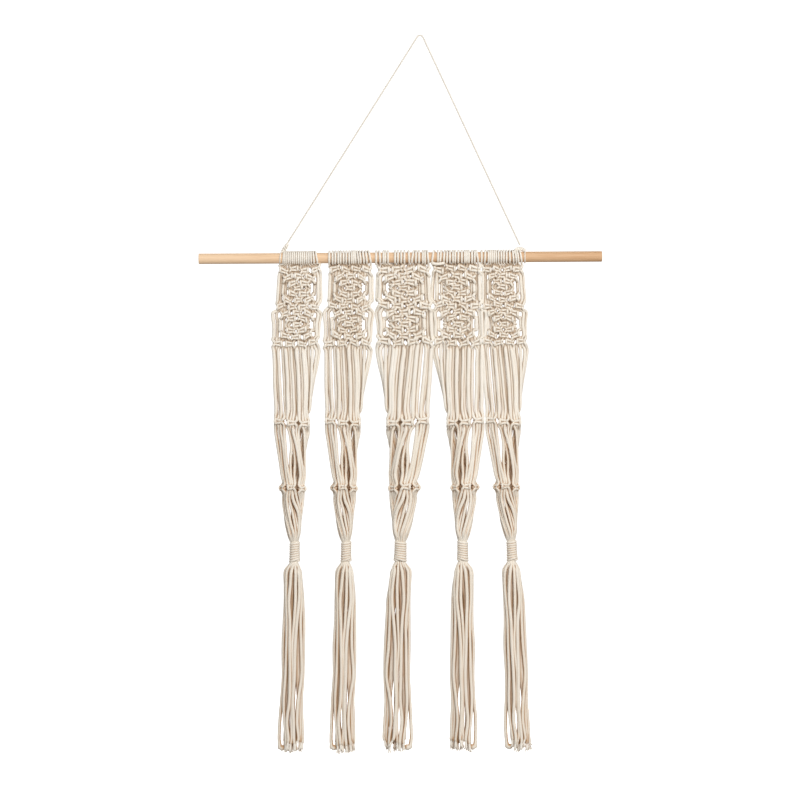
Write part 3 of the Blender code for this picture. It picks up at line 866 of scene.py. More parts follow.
@dataclass(frozen=True)
class KnotSeat:
    """Where a square knot sits and how it is drawn.

    size is the cord's measure in it, stretch and rise are its width and height against that, and
    stout is the cord's radius in the knot's middle. One that is turned is tied from the right.
    """

    middle: Vector
    right: Vector
    front: Vector
    size: float
    stretch: float
    rise: float
    turned: bool
    stout: float = 0.50

    upright = 1.2  # above which a strand runs straight
    straight_stout = 0.68

    def stops(self, role: Role) -> list[Stop]:
        """A strand's stops through the knot, from above.

        Args:
            role: What the strand does in it.

        Returns:
            The stops.
        """
        made = []
        if self.turned:
            role = Role(3 - role.value)
        for right, front, up in knot_line(role):
            right = -right if self.turned else right
            spot = self.right * (right * self.stretch) + self.front * front
            spot += Vector((0, 0, up * self.rise))
            thick = self.stout if abs(up) < self.upright else self.straight_stout
            made.append(Stop(self.middle + spot * self.size, self.size * thick))
        return made


# ---- one panel


@dataclass(frozen=True, order=True)
class RowKnot:
    """A knot of the rolled part: its first strand, its angle round the tube and how low it sits."""

    first: int
    middle: float
    lower: float = 0.0


ROW_A = (RowKnot(0, -42, -0.0024), RowKnot(4, 0), RowKnot(8, 42, 0.0012), RowKnot(12, 152))
ROW_B = (RowKnot(14, -68), RowKnot(2, -9, -0.0014), RowKnot(6, 54, 0.001), RowKnot(10, 175))

HALF_WIDTHS = (
    (0.0188, 0.0321), (0.0733, 0.0334), (0.128, 0.0352), (0.197, 0.0340), (0.249, 0.0272),
    (0.300, 0.0208), (0.3475, 0.0146), (0.390, 0.0126), (0.4235, 0.0084), (0.461, 0.0082),
    (0.475, 0.0112), (0.520, 0.0134), (0.630, 0.0144), (0.743, 0.0165),
)
HALF_DEPTHS = (
    (0.128, 0.0002), (0.197, 0.0060), (0.249, 0.0105), (0.300, 0.0112), (0.3475, 0.0120),
    (0.390, 0.0105), (0.4235, 0.0080), (0.461, 0.0082), (0.475, 0.0090), (0.520, 0.0095),
    (0.630, 0.0100), (0.743, 0.0102),
)
FORWARDS = (
    (0.128, 0.0), (0.197, 0.001), (0.249, 0.002), (0.3475, 0.002), (0.390, 0.0015), (0.4235, 0.001),
)
LINE_DROPS = (
    0.0, FIRST_ROW_DROP, LAST_ROW_DROP, ROW_A_DROP, ROW_B_DROP, BINDING_TOP, 0.580, TIP_DROP,
)
WIDEN_DROPS = (FIRST_ROW_DROP, LAST_ROW_DROP, ROW_A_DROP)

# Beside the upper and the lower field, in millimetres: how far a loose strand stands aside at
# BESIDE_STEPS, counted in rows from the field's top, and how far to the front.
BESIDE_STEPS = (1, 3, 5)
STILL = (0.0, 0.0, 0.0)
BESIDE_UPPER = {
    0: (0.0, 0.2, 0.2, 0.8), 1: (0.0, -0.4, 0.0, -2.4), 2: (0.0, -0.7, 0.0, 0.5),
    3: (0.2, -1.3, 0.2, -1.8), 12: (-2.8, -3.6, -2.8, -0.2), 13: (2.2, 2.6, 2.2, -1.4),
    14: (2.6, 3.5, 3.5, 1.0), 15: (2.0, 2.7, 3.0, -2.6),
}
BESIDE_LOWER = {
    0: (-5.2, -2.3, -1.1, 1.2), 1: (-3.6, -1.2, 0.0, -2.2), 2: (-3.0, -1.0, -0.8, 0.8),
    3: (-1.5, 0.6, 0.8, -1.4), 12: (-1.6, -2.4, -1.6, -0.2), 13: (2.6, 3.1, 2.4, -0.8),
    14: (3.6, 2.2, 2.1, 0.8), 15: (4.2, 1.9, 1.0, -2.8),
}
FIELD_ROWS = 6  # from one full row to the next
ARCH = 0.0030  # how far a knot at a field's side hangs below the row's middle
LEAN = 0.9  # of such a knot, in radians
LOOSE_LEAN = 2.2  # how much more unevenly the full rows lie

WRAP_ANGLES = (148, 122, 95, 68, 42, 15, -15, -45, -75, -105, -132, -156)
FRONT_BAR = ((0.02, 0.0), (0.35, 0.0010), (0.65, 0.0012), (0.98, 0.0002))  # share and sag
BAR_FRONT = 0.0052
# Half hitches down a loose strand: how far aside of strand HITCHED, and from which drop to which.
HITCHES = ((-0.0036, 0.0235, 0.0580), (-0.0024, 0.0780, 0.1120))
HITCHED = 12.5
HITCH_TURNS, HITCH_STEPS = 6, 8
HITCH_REACH, HITCH_RADIUS, HITCH_TILT = 0.0021, 0.0018, 0.0008

# Inside the binding, for the strands and for the loose ends: drop, distance off the oval, radius.
NECK_STOPS = ((0.4255, -0.0026, 0.0020), (0.4305, -0.0045, 0.0016), (0.437, -0.0056, 0.0010))
ROOT_STOPS = ((0.452, -0.0058, 0.0010), (0.458, -0.0045, 0.0014), (0.4640, -0.0022, 0.0018))
BINDING_STEPS = 12  # of one turn
# A ply of a frayed end: how far off the strand, with which share of its flare, how far back of the
# cut, with which share of its length, and its radius.
PLY_STOPS = (
    (0.0008, 0.0, -0.004, 0.0, 0.0010), (0.0010, 0.0, 0.0, 0.35, 0.00095),
    (0.0009, 0.4, 0.0, 0.75, 0.00075), (0.0009, 1.0, 0.0, 1.0, 0.00035),
)
# A tone this low makes the frayed plies pale and keeps the painted shade between cords off them.
PLIES, PLY_TONE = 6, -1.2

FRONT = (1, 1, 1, 1, 1)
BACK = (-1, -1, -1, -1)


@dataclass(frozen=True)
class Course:
    """A strand's way between two rows.

    across is how far it lies right of the panel's middle at each drop, in millimetres. off is how
    far it stands off the oval, in millimetres, and face is where it is on the oval, from 1 at the
    front to -1 at the back.
    """

    across: tuple[float, ...]
    off: float = 0.0
    stout: float = 1.0
    face: tuple[float, ...] = FRONT


STRAIGHT_DROPS = (0.1400, 0.1625, 0.1852, 0.2079, 0.2306)
STRAIGHT = (
    Course((-32.2, -30.4, -28.7, -26.8, -24.7), 1.0, 1.12, (1, 1, 1, 1, 0.9)),
    Course((-28.6, -26.5, -24.3, -21.6, -18.8), -2.2, 1.0, (1, 1, 1, 0.9, 0.8)),
    Course((-25.5, -23.4, -21.2, -19.0, -16.8), 0.4, 0.92),
    Course((-18.9, -16.8, -14.6, -12.7, -11.0), -1.6, 1.0, (1, 1, 1, 1, 0.9)),
    Course((-14.2, -11.9, -9.6, -7.9, -6.6), 1.4, 1.22),
    Course((-9.5, -7.1, -4.7, -2.4, -0.8), -1.4),
    Course((-6.3, -3.9, -1.4, 1.0, 3.0), 0.8, 0.90),
    Course((-2.8, -0.5, 1.8, 4.0, 6.0), -3.4, 1.0, (1, 1, 1, 1, 0.9)),
    Course((2.1, 4.9, 7.4, 9.0, 10.1), 1.4, 1.25),
    Course((7.6, 10.4, 12.6, 14.0, 15.0), -1.4),
    Course((11.4, 14.3, 16.8, 17.7, 18.2), 0.9, 1.08),
    Course((15.2, 17.9, 20.0, 20.6, 21.2), 0.9),
    Course((19.9, 22.0, 23.4, 23.6, 22.6), -2.0, 1.0, (1, 1, 0.6, 0.2, -0.5)),
    Course((25.4, 26.0, 26.5, 26.0, 24.8), 1.0, 0.95, (1, 1, 1, 0.8, 0.4)),
    Course((31.7, 30.4, 28.0, 25.6, 22.0), -0.4, 1.0, (1, 1, 0.4, -0.2, -0.8)),
    Course((35.7, 33.2, 29.2, 26.2, 23.0), -2.8, 1.0, (1, 0.6, 0.0, -0.5, -0.9)),
)
CROSSING_DROPS = (0.2609, 0.2836, 0.3063, 0.3290)
CROSSING = (
    Course((-25.0, -22.0, -19.1, -15.8), 0.2, 1.05, (0.7, 0.6, 0.6, 0.6)),
    Course((-19.5, -17.6, -15.7, -13.7), -1.8, 0.95, (0.9, 0.9, 0.9, 0.8)),
    Course((-16.5, -13.5, -11.2, -9.1), -0.4),
    Course((-12.0, -10.6, -9.4, -5.8), 0.2, 0.95),
    Course((-4.2, -1.4, -3.2, -2.6), -1.8, 0.90),
    Course((-2.0, 1.5, 3.6, 2.1), -3.4, 0.90),
    Course((1.7, 6.7, 10.0, 11.4), 1.8, 0.95),
    Course((6.3, 8.7, 12.6, 15.0), 0.0, 0.8),
    Course((10.0, 10.6, 13.4, 16.6), -0.8, 0.8, (1, 1, 0.8, 0.6)),
    Course((18.0, 18.9, 18.0, 17.6), 0.0, 0.8, (1, 1, 0.6, 0.4)),
    Course((20.2, 19.6, 14.6, 9.6), -1.0, 0.8, (0.4, -0.2, -0.8, -1)),
    Course((23.0, 19.8, 13.0, 5.8), -1.0, 0.95, (0.0, -0.6, -1, -1)),
    Course((23.6, 17.8, 10.8, 0.4), 0.0, 1.15, BACK),
    Course((18.0, 13.2, 6.4, -4.4), 0.4, 1.15, BACK),
    Course((12.1, 6.5, -1.8, -9.8), -1.0, 0.9, (-1, -0.8, -0.6, -0.4)),
    Course((16.2, 11.3, 1.4, -12.0), 0.0, 0.9, (-1, -1, -0.9, -0.7)),
)
GATHER_DROPS = (0.3638, 0.3819, 0.4001, 0.4167)
GATHER = (
    Course((-15.2, -13.5, -9.9, -5.9), 0.2, 0.95),
    Course((-12.4, -10.5, -7.0, -3.5), -1.4, 0.9),
    Course((-9.8, -7.7, -4.2, -0.5), 0.9, 0.95),
    Course((-5.4, -1.9, 1.0, 3.2), -0.6, 0.85),
    Course((0.2, 6.6, 8.6, 6.8), 1.6, 1.0),
    Course((5.2, 9.0, 9.6, 8.0), -0.6, 0.9, (1, 1, 0.8, 0.6)),
    Course((9.6, 10.0, 8.7, 7.0), -3.0, 0.85, (1, 0.8, 0.4, 0.2)),
    Course((11.8, 11.0, 8.9, 7.0), -2.0, 0.85, (0.6, 0.2, 0, 0)),
    Course((14.0, 11.9, 9.6, 7.4), 0.0, 0.9, (0.8, 0.7, 0.5, 0.4)),
    Course((14.8, 12.3, 9.4, 7.0), 0.0, 0.9, (0.0, -0.2, -0.4, -0.6)),
    Course((7.0, 6.0, 5.0, 4.4), 0.0, 0.9, BACK),
    Course((2.0, 2.0, 1.6, 1.0), 0.4, 0.9, BACK),
    Course((-3.0, -2.4, -2.0, -2.4), 0.4, 0.9, BACK),
    Course((-2.4, 1.6, 5.0, 5.6), -1.4, 0.85, (-0.4, 0.7, 1, 1)),
    Course((-14.0, -12.8, -11.4, -8.2), -0.6, 0.9, (0.1, 0.3, 0.5, 0.6)),
    Course((-11.0, -10.0, -9.0, -6.6), 0.0, 0.9, (-0.8, -0.6, -0.4, -0.2)),
)

# The hook at the foot of a fringe's outermost end: drop, millimetres from the middle, stoutness.
HOOK = ((0.7350, -15.4, 1.1), (0.7392, -15.0, 1.55), (0.7405, -11.6, 1.8), (0.7400, -8.0, 1.3))
FRINGE_DROPS = (0.4727, 0.4953, 0.5181, 0.5484, 0.5862, 0.6316, 0.6694, 0.6996, 0.7269)


@dataclass(frozen=True)
class LooseEnd:
    """A loose end below the binding: its place round the neck and its sweep at FRINGE_DROPS."""

    neck: float
    across: tuple[float, ...]  # millimetres from the panel's middle
    face: float
    off: float = 0.0
    hooked: bool = False


LOOSE_ENDS = (
    LooseEnd(
        -93.75, (-12.2, -12.8, -12.6, -12.9, -14.2, -13.5, -15.0, -16.2, -16.1), 0.15, hooked=True,
    ),
    LooseEnd(-48.75, (-9.9, -11.0, -10.6, -9.1, -9.5, -9.9, -11.0, -9.1, -6.1), 0.8, 0.4),
    LooseEnd(-3.75, (-2.8, -5.1, -6.2, -4.8, -4.2, -2.7, -2.9, -5.0, -1.9), 1.0, 1.0),
    LooseEnd(18.75, (2.6, 3.2, 2.9, 1.1, -0.5, 1.8, 1.1, 2.6, 2.0), 0.9, 0.2),
    LooseEnd(63.75, (7.2, 8.6, 9.0, 6.1, 3.8, 4.1, 3.0, 4.5, 6.4), 1.0, 1.0),
    LooseEnd(86.25, (9.2, 11.6, 11.8, 10.9, 12.1, 14.7, 10.6, 9.2, 12.2), 0.9, 0.3),
    LooseEnd(108.75, (8.4, 12.2, 14.4, 15.3, 15.9, 17.0, 16.0, 17.4, 18.4), 0.3),
    LooseEnd(41.25, (8.0, 8.2, 10.4, 8.8, 8.2, 10.6, 13.2, 13.6, 14.9), 0.3, -1.0),
    LooseEnd(-26.25, (-5.9, -7.7, -10.1, -11.0, -7.4, -6.4, -6.7, -7.6, -7.6), 0.3, -1.0),
    LooseEnd(176.25, (0.3, -0.9, -2.4, -2.0, -1.1, 1.5, 0.9, 3.3, 2.6), 0.1),
    LooseEnd(-161.25, (1.0, 0.6, 0.3, 3.0, 0.8, 3.8, 3.6, 3.9, 5.7), -0.5),
    LooseEnd(131.25, (6.0, 6.4, 5.7, 8.5, 6.8, 7.6, 10.6, 10.0, 9.6), 0.2),
    LooseEnd(153.75, (9.5, 10.4, 10.7, 11.2, 13.0, 12.9, 14.1, 14.2, 16.3), -0.8, 0.6),
    LooseEnd(-116.25, (-10.9, -10.1, -10.1, -12.1, -12.1, -11.6, -12.4, -8.6, -4.6), -0.4),
    LooseEnd(-138.75, (-5.6, -5.7, -6.2, -7.3, -8.3, -3.0, -3.9, -4.5, -2.5), -0.9, 0.6),
    LooseEnd(-71.25, (7.2, 11.4, 14.4, 13.6, 14.4, 14.2, 15.3, 16.9, 18.8), -0.3),
)


class Pattern(Enum):
    """Which way round a panel's pattern runs."""

    AS_DRAWN = 1
    MIRRORED = -1


class Bight(Enum):
    """Where the bar of a lark's head lies."""

    BEHIND = 1
    IN_FRONT = -1


@dataclass(frozen=True)
class Panel:
    """One knotted panel with its binding and its fringe.

    widen is its width against the first panel's at WIDEN_DROPS, and line is where its middle runs
    along the rod at LINE_DROPS. wraps are the places of its turns on the rod, in millimetres from
    the rod's middle, and slants are how far the head of a turn leans. front_bight is a turn of the
    cord whose bar lies in front. bow, slit and swing shift the loose strands beside the fields: bow
    and slit are how much of their tables' way they stand aside, at the left of the lower field and
    at the right of the upper one, and swing adds millimetres to single ones.
    """

    name: str
    pattern: Pattern
    widen: tuple[float, float, float]
    bow: float
    line: tuple[float, ...]
    wraps: tuple[float, ...]
    slants: dict[int, float] = field(default_factory=dict)
    front_bight: int = -1
    cord_radius: float = 0.0025
    fringe_radius: float = 0.0026
    wrap_radius: float = 0.0017
    knot_size: float = 0.0040
    binding_radius: float = 0.0079
    binding_turns: int = 9
    slit: float = 1.0
    swing: dict[int, Point] = field(default_factory=dict)

    # -- places

    def middle(self, drop: float) -> float:
        """The panel's middle along the rod at a drop."""
        return read_between(tuple(zip(LINE_DROPS, self.line)), drop)

    def wider(self, drop: float) -> float:
        """The panel's width at a drop against the first panel's."""
        return read_between(tuple(zip(WIDEN_DROPS, self.widen)), drop)

    def spot(self, drop: float, x: float, y: float) -> Vector:
        """A place of the panel, from its own middle."""
        return along_rod(self.middle(drop)) + Vector((self.pattern.value * x, y, -drop))

    def flat(self, drop: float, edge: float, front: float = 0.0, aside: float = 0.0) -> Vector:
        """A place of the flat field, counted in strands from its left edge."""
        half = read_between(HALF_WIDTHS, drop) * self.wider(drop)
        return self.spot(drop, half * (2 * edge / STRANDS - 1) + aside, -front)

    def oval(self, drop: float, degrees: float, out: float = 0.0) -> Vector:
        """A place on the oval that the rolled panel follows.

        Args:
            drop: How far below the rod's axis.
            degrees: Round the tube, from the front towards the panel's right.
            out: How far off the oval.

        Returns:
            The place.
        """
        _, front = self.oval_axes(drop, degrees)
        angle = math.radians(degrees)
        wide, deep, forward = self.oval_size(drop)
        x, y = wide * math.sin(angle), -deep * math.cos(angle) - forward
        spot = Vector((x, y, 0)) + front * out
        return self.spot(drop, spot.x, spot.y)

    def oval_size(self, drop: float) -> tuple[float, float, float]:
        """The oval's half width, half depth and how far forward it hangs."""
        wide = read_between(HALF_WIDTHS, drop) * self.wider(drop)
        return wide, read_between(HALF_DEPTHS, drop), read_between(FORWARDS, drop)

    def oval_axes(self, drop: float, degrees: float) -> tuple[Vector, Vector]:
        """The directions along the oval and off it, in the panel's own frame.

        Args:
            drop: How far below the rod's axis.
            degrees: Round the tube.

        Returns:
            The two directions.
        """
        wide, deep, _ = self.oval_size(drop)
        angle = math.radians(degrees)
        front = Vector((math.sin(angle) / wide, -math.cos(angle) / deep, 0)).normalized()
        return Vector((-front.y, front.x, 0)), front

    # -- strands, from the rod down

    def wrap_stops(self, wrap: int, bight: Bight) -> list[Stop]:
        """A wrap over the rod, from the strand's side to the bar's.

        Args:
            wrap: Its number from the left.
            bight: Where the bar lies.

        Returns:
            The stops.
        """
        foot = self.wraps[wrap] / 1000
        head = foot - self.slants.get(wrap, 0.0)
        reach = ROD_RADIUS + GAP + self.wrap_radius
        stops = []
        for degrees in WRAP_ANGLES:
            along = read_between(((-30, head), (120, foot)), degrees * bight.value)
            angle = math.radians(degrees)
            out = Vector((0, -reach * math.sin(angle) * bight.value, reach * math.cos(angle)))
            stops.append(Stop(along_rod(along) + out, self.wrap_radius))
        return stops

    def field_stops(self, strand: int, draw: random.Random) -> list[Stop]:
        """A strand's way through the flat field.

        Args:
            strand: Its number.
            draw: Where the small unevenness comes from.

        Returns:
            The stops, from the top.
        """
        stops: list[Stop] = []
        for row in range(LAST_ROW + 1):
            drop = FIRST_ROW_DROP + row * ROW_PITCH
            first = self.knot_first(row, strand)
            if first is not None:
                stops += self.field_seat(row, first).stops(Role(strand - first))
            elif strand not in BESIDE_UPPER:
                edge = strand + (0.1 if strand < STRANDS / 2 else 0.9)
                stops.append(Stop(self.flat(drop, edge), self.cord_radius * 0.95))
            elif row % 2 or strand in (2, 3, 12, 13):
                stops.append(self.beside_stop(row, strand, draw))
        return stops

    def beside_stop(self, row: int, strand: int, draw: random.Random) -> Stop:
        """A loose strand's stop beside a row of the field.

        Args:
            row: The row.
            strand: The strand's number.
            draw: Where the small unevenness comes from.

        Returns:
            The stop.
        """
        drop = FIRST_ROW_DROP + row * ROW_PITCH
        upper, step = row < FIELD_ROWS, row % FIELD_ROWS
        *asides, front = (BESIDE_UPPER if upper else BESIDE_LOWER)[strand]
        aside = read_between(tuple(zip(BESIDE_STEPS, asides)), step)
        if not upper and strand < 3:
            swing = tuple(zip(BESIDE_STEPS, self.swing.get(strand, STILL)))
            aside = aside * self.bow + read_between(swing, step)
        if upper and strand in (13, 14):
            aside *= self.slit if strand == 13 else (1 + self.slit) / 2
        aside += draw.uniform(-0.2, 0.2)
        front *= 0.75 if step in (1, 5) else 1.0
        place = self.flat(drop, strand + 0.5, front / 1000, aside / 1000)
        stout = self.wider(drop) * (1.1 if strand in (0, 2, 14) else 0.95)
        return Stop(place, self.cord_radius * stout)

    def knot_first(self, row: int, strand: int) -> int | None:
        """The first strand of the knot that holds a strand in a row, if one does.

        Args:
            row: The row.
            strand: The strand's number.

        Returns:
            The knot's first strand.
        """
        knots = 4 - min(row % FIELD_ROWS, FIELD_ROWS - row % FIELD_ROWS)
        start = 8 - 2 * knots
        if not start <= strand < STRANDS - start:
            return None
        return start + (strand - start) // 4 * 4

    def field_seat(self, row: int, first: int) -> KnotSeat:
        """Where a knot of the field sits.

        Args:
            row: Its row.
            first: Its first strand.

        Returns:
            Its seat.
        """
        draw = random.Random(f"{self.name} {row} {first}")
        beside = (first + 2 - STRANDS / 2) / (STRANDS / 2)
        above = math.sin(math.pi * (row % FIELD_ROWS) / 3)
        loose = 1.0 if row % FIELD_ROWS else LOOSE_LEAN
        lean = draw.uniform(-0.20, 0.20) * loose - LEAN * beside * above
        drop = FIRST_ROW_DROP + row * ROW_PITCH + ARCH * abs(beside) * above
        drop += draw.uniform(-0.0009, 0.0009) * loose - (0.0010 if row == 0 else 0)
        size = self.knot_size * draw.uniform(0.98, 1.08)
        front, aside = draw.uniform(-0.0006, 0.0008), draw.uniform(-0.0006, 0.0006)
        large = self.wider(drop) ** 0.5
        return KnotSeat(
            self.flat(drop, first + 2, front, aside),
            Vector((self.pattern.value * math.cos(lean), 0, math.sin(lean))), Vector((0, -1, 0)),
            size * large, 0.96 * large * draw.uniform(0.92, 1.08), 1.0, draw.random() < 0.4,
        )

    def rolled_seat(self, drop: float, knot: RowKnot) -> KnotSeat:
        """Where a knot of the rolled part sits.

        Args:
            drop: Its row's drop.
            knot: The knot.

        Returns:
            Its seat.
        """
        right, front = self.oval_axes(drop, knot.middle)
        flip = Vector((self.pattern.value, 1, 1))
        size, stretch = (1.0, 1.0) if drop == ROW_A_DROP else (0.92, 0.84)
        large = self.wider(drop) ** 0.5
        return KnotSeat(
            self.oval(drop + knot.lower, knot.middle), right * flip, front * flip,
            self.knot_size * size * large, stretch * large, 0.96, knot.middle > 20, 0.54,
        )

    def row_stops(self, drop: float, knots: Sequence[RowKnot], strand: int) -> list[Stop]:
        """A strand's stops through the knot that holds it in a row of the rolled part."""
        offset, knot = min(((strand - k.first) % STRANDS, k) for k in knots)
        return self.rolled_seat(drop, knot).stops(Role(offset))

    def course_stops(
        self, drops: Sequence[float], course: Course, draw: random.Random
    ) -> list[Stop]:
        """A strand's stops between two rows.

        Args:
            drops: The drops of the course.
            course: The course.
            draw: Where the small unevenness comes from.

        Returns:
            The stops.
        """
        stops = []
        for drop, across, face in zip(drops, course.across, course.face):
            wide, deep, forward = self.oval_size(drop)
            x = across / 1000 * self.wider(drop) + draw.uniform(-0.0003, 0.0003)
            bulge = math.sqrt(max(0.0, 1 - (x / wide) ** 2))
            front = face * deep * bulge + forward + course.off / 1000
            radius = self.cord_radius * course.stout * self.wider(drop)
            stops.append(Stop(self.spot(drop, x, -front), radius))
        return stops

    def strand_stops(self, strand: int) -> list[Stop]:
        """A strand's whole way from under the rod to the inside of its binding.

        Args:
            strand: Its number.

        Returns:
            The stops, from the top.
        """
        draw = random.Random(f"strand {self.name} {strand}")
        stops = self.field_stops(strand, draw)
        stops += self.course_stops(STRAIGHT_DROPS, STRAIGHT[strand], draw)
        stops += self.row_stops(ROW_A_DROP, ROW_A, strand)
        stops += self.course_stops(CROSSING_DROPS, CROSSING[strand], draw)
        stops += self.row_stops(ROW_B_DROP, ROW_B, strand)
        stops += self.course_stops(GATHER_DROPS, GATHER[strand], draw)
        neck = 360 * (strand + 0.5) / STRANDS - 180 + NECK_TURN
        return stops + self.inner_stops(NECK_STOPS, neck)

    def inner_stops(self, table: Sequence[Point], neck: float) -> list[Stop]:
        """The stops of a cord's hidden end in the binding, at an angle round the neck."""
        return [Stop(self.oval(drop, neck, out), radius) for drop, out, radius in table]

    def cords(self) -> list[Run]:
        """The eight cords, each folded over the rod in a lark's head.

        Returns:
            Their lines.
        """
        runs = []
        draw = random.Random(f"cords {self.name}")
        mirrored = self.pattern is Pattern.MIRRORED
        for first in range(0, STRANDS, 2):
            pair = (first, first + 1)
            wraps = tuple(STRANDS - 1 - strand for strand in pair) if mirrored else pair
            bight = Bight.IN_FRONT if self.front_bight in wraps else Bight.BEHIND
            down = [self.strand_stops(strand) for strand in pair]
            over = [self.wrap_stops(wrap, bight) for wrap in wraps]
            for strand_stops, wrap_stops in zip(down, over):
                drop_in = wrap_stops[0].place.lerp(strand_stops[0].place, 0.5)
                drop_in.y = 0.5 * wrap_stops[0].place.y
                wrap_stops.insert(0, Stop(drop_in, self.wrap_radius))
            bar = []
            if bight is Bight.IN_FRONT:
                ends = over[0][-1].place, over[1][-1].place
                for share, sag in FRONT_BAR:
                    place = ends[0].lerp(ends[1], share) + Vector((0, -BAR_FRONT, -sag))
                    bar.append(Stop(place, self.cord_radius))
            stops = down[0][::-1] + over[0] + bar + over[1][::-1] + down[1]
            runs.append(Run(stops, draw.uniform(-0.14, 0.14)))
        return runs

    def hitch_runs(self) -> list[Run]:
        """The column of half hitches down the loose strand at the right of each field.

        Returns:
            Their lines.
        """
        runs = []
        for beside, top, foot in HITCHES:
            draw = random.Random(f"hitch {self.name} {top}")
            stops = []
            for i in range(HITCH_TURNS * HITCH_STEPS + 1):
                angle = FULL_TURN * i / HITCH_STEPS
                drop = top + (foot - top) * i / (HITCH_TURNS * HITCH_STEPS)
                reach = HITCH_REACH * self.wider(drop) * draw.uniform(0.9, 1.1)
                right, front = reach * math.sin(angle), reach * math.cos(angle)
                spot = self.flat(drop, HITCHED, front, beside + right)
                spot += Vector((0, 0, HITCH_TILT * math.sin(angle)))
                stops.append(Stop(spot, HITCH_RADIUS * self.wider(drop)))
            runs.append(Run(stops, draw.uniform(-0.1, 0.1), fine_step=0.0022))
        return runs

    # -- binding and fringe

    def stoutness(self) -> float:
        """How much stouter the bound part is than the first panel's."""
        return max(1.0, 1 + 0.85 * (self.widen[-1] - 1))

    def binding_run(self) -> Run:
        """The binding cord's turns, wound up from the fringe, a little wider at the foot.

        Returns:
            Their line.
        """
        draw = random.Random(f"binding {self.name}")
        radius = (BINDING_BOTTOM - BINDING_TOP) / self.binding_turns / 2
        top, foot = BINDING_TOP + radius, BINDING_BOTTOM - radius
        reach = self.binding_radius * self.stoutness() - radius
        aside = 0.0011 if self.pattern is Pattern.AS_DRAWN else 0.0
        stops = []
        count = (self.binding_turns - 1) * BINDING_STEPS + BINDING_STEPS // 2
        for i in range(count + 1):
            share = i / count
            drop = foot + (top - foot) * share
            angle = FULL_TURN * i / BINDING_STEPS + 0.6
            out = reach * (1.10 - 0.10 * min(1, share * 2.2)) + draw.uniform(-0.00012, 0.00012)
            if i in (0, count):
                out *= 0.6
            sag = (0.0003 + 0.0016 * (1 - share) ** 3) * math.sin(angle)
            spot = self.spot(drop, aside + out * math.sin(angle), -out * math.cos(angle) - 0.001)
            stops.append(Stop(spot + Vector((0, 0, sag)), radius * 1.12))
        return Run(stops, draw.uniform(-0.10, 0.02), step=0.0022, fine_under=0.0)

    def fringe_runs(self) -> list[Run]:
        """The loose ends below the binding, with their frayed tips.

        Returns:
            Their lines.
        """
        runs = []
        for number, end in enumerate(LOOSE_ENDS):
            draw = random.Random(f"fringe {self.name} {number}")
            tone = draw.uniform(-0.12, 0.12)
            stops = self.inner_stops(ROOT_STOPS, end.neck)
            for drop, across in zip(FRINGE_DROPS, end.across):
                stops.append(self.loose_stop(drop, across + draw.uniform(-0.5, 0.5), end))
            if end.hooked:
                for drop, across, stout in HOOK:
                    stops.append(self.loose_stop(drop, across, end, stout))
            else:
                drop = TIP_DROP - 0.010 + draw.uniform(-0.0045, 0.0035)
                stops.append(self.loose_stop(drop, end.across[-1] + draw.uniform(-0.8, 0.8), end))
            runs.append(Run(stops, tone, step=0.005, fine_under=0.0012))
            runs += self.frayed(stops[-2:], tone, draw, 0.5 if end.hooked else 1.0)
        return runs

    def loose_stop(self, drop: float, across: float, end: LooseEnd, stout: float = 1.0) -> Stop:
        """A stop of a loose end.

        Args:
            drop: How far below the rod.
            across: Its place from the panel's middle, in millimetres.
            end: The loose end.
            stout: How much thicker than the others it is there.

        Returns:
            The stop.
        """
        wide, deep, forward = self.oval_size(drop)
        x = across / 1000 * self.stoutness()
        bulge = math.sqrt(max(0.0, 1 - (x / (wide + 0.002)) ** 2))
        front = end.face * deep * bulge + forward + end.off / 1000
        return Stop(self.spot(drop, x, -front), self.fringe_radius * stout)

    def frayed(self, end: list[Stop], tone: float, draw: random.Random, reach: float) -> list[Run]:
        """The plies that open out of a strand's cut end.

        Args:
            end: The strand's last two stops.
            tone: Its tone.
            draw: Where the unevenness comes from.
            reach: How far they open out, against a plain end.

        Returns:
            The plies' lines.
        """
        last = end[-1].place
        ahead = (last - end[0].place).normalized()
        runs = []
        for ply in range(PLIES):
            angle = FULL_TURN * (ply + draw.uniform(-0.3, 0.3)) / PLIES
            off = Vector((math.cos(angle), math.sin(angle), 0))
            length = draw.uniform(0.010, 0.0135) * reach
            flare = draw.uniform(0.0009, 0.0024)
            stops = [
                Stop(last + off * (out + flare * spread) + ahead * (back + length * share), radius)
                for out, spread, back, share, radius in PLY_STOPS
            ]
            runs.append(Run(stops, tone + PLY_TONE + draw.uniform(-0.1, 0.1), fine_step=0.003))
        return runs

    def build(self, finishes: Finishes) -> None:
        """Makes the panel's three pieces.

        Args:
            finishes: The shared materials.
        """
        parts = (
            ("knotted_cords", "panel", self.cords() + self.hitch_runs()),
            ("binding_turns", "binding", [self.binding_run()]),
            ("fringe_strands", "fringe", self.fringe_runs()),
        )
        for piece, node, runs in parts:
            mesh = CordMesh(f"{piece}_{self.name}")
            for run in runs:
                mesh.add(run)
            obj = mesh.build()
            settle(obj, finishes.cotton, "cotton_cord", f"{node}_{self.name}")
            LOG.info("%s: %d faces", obj.name, len(obj.data.polygons))


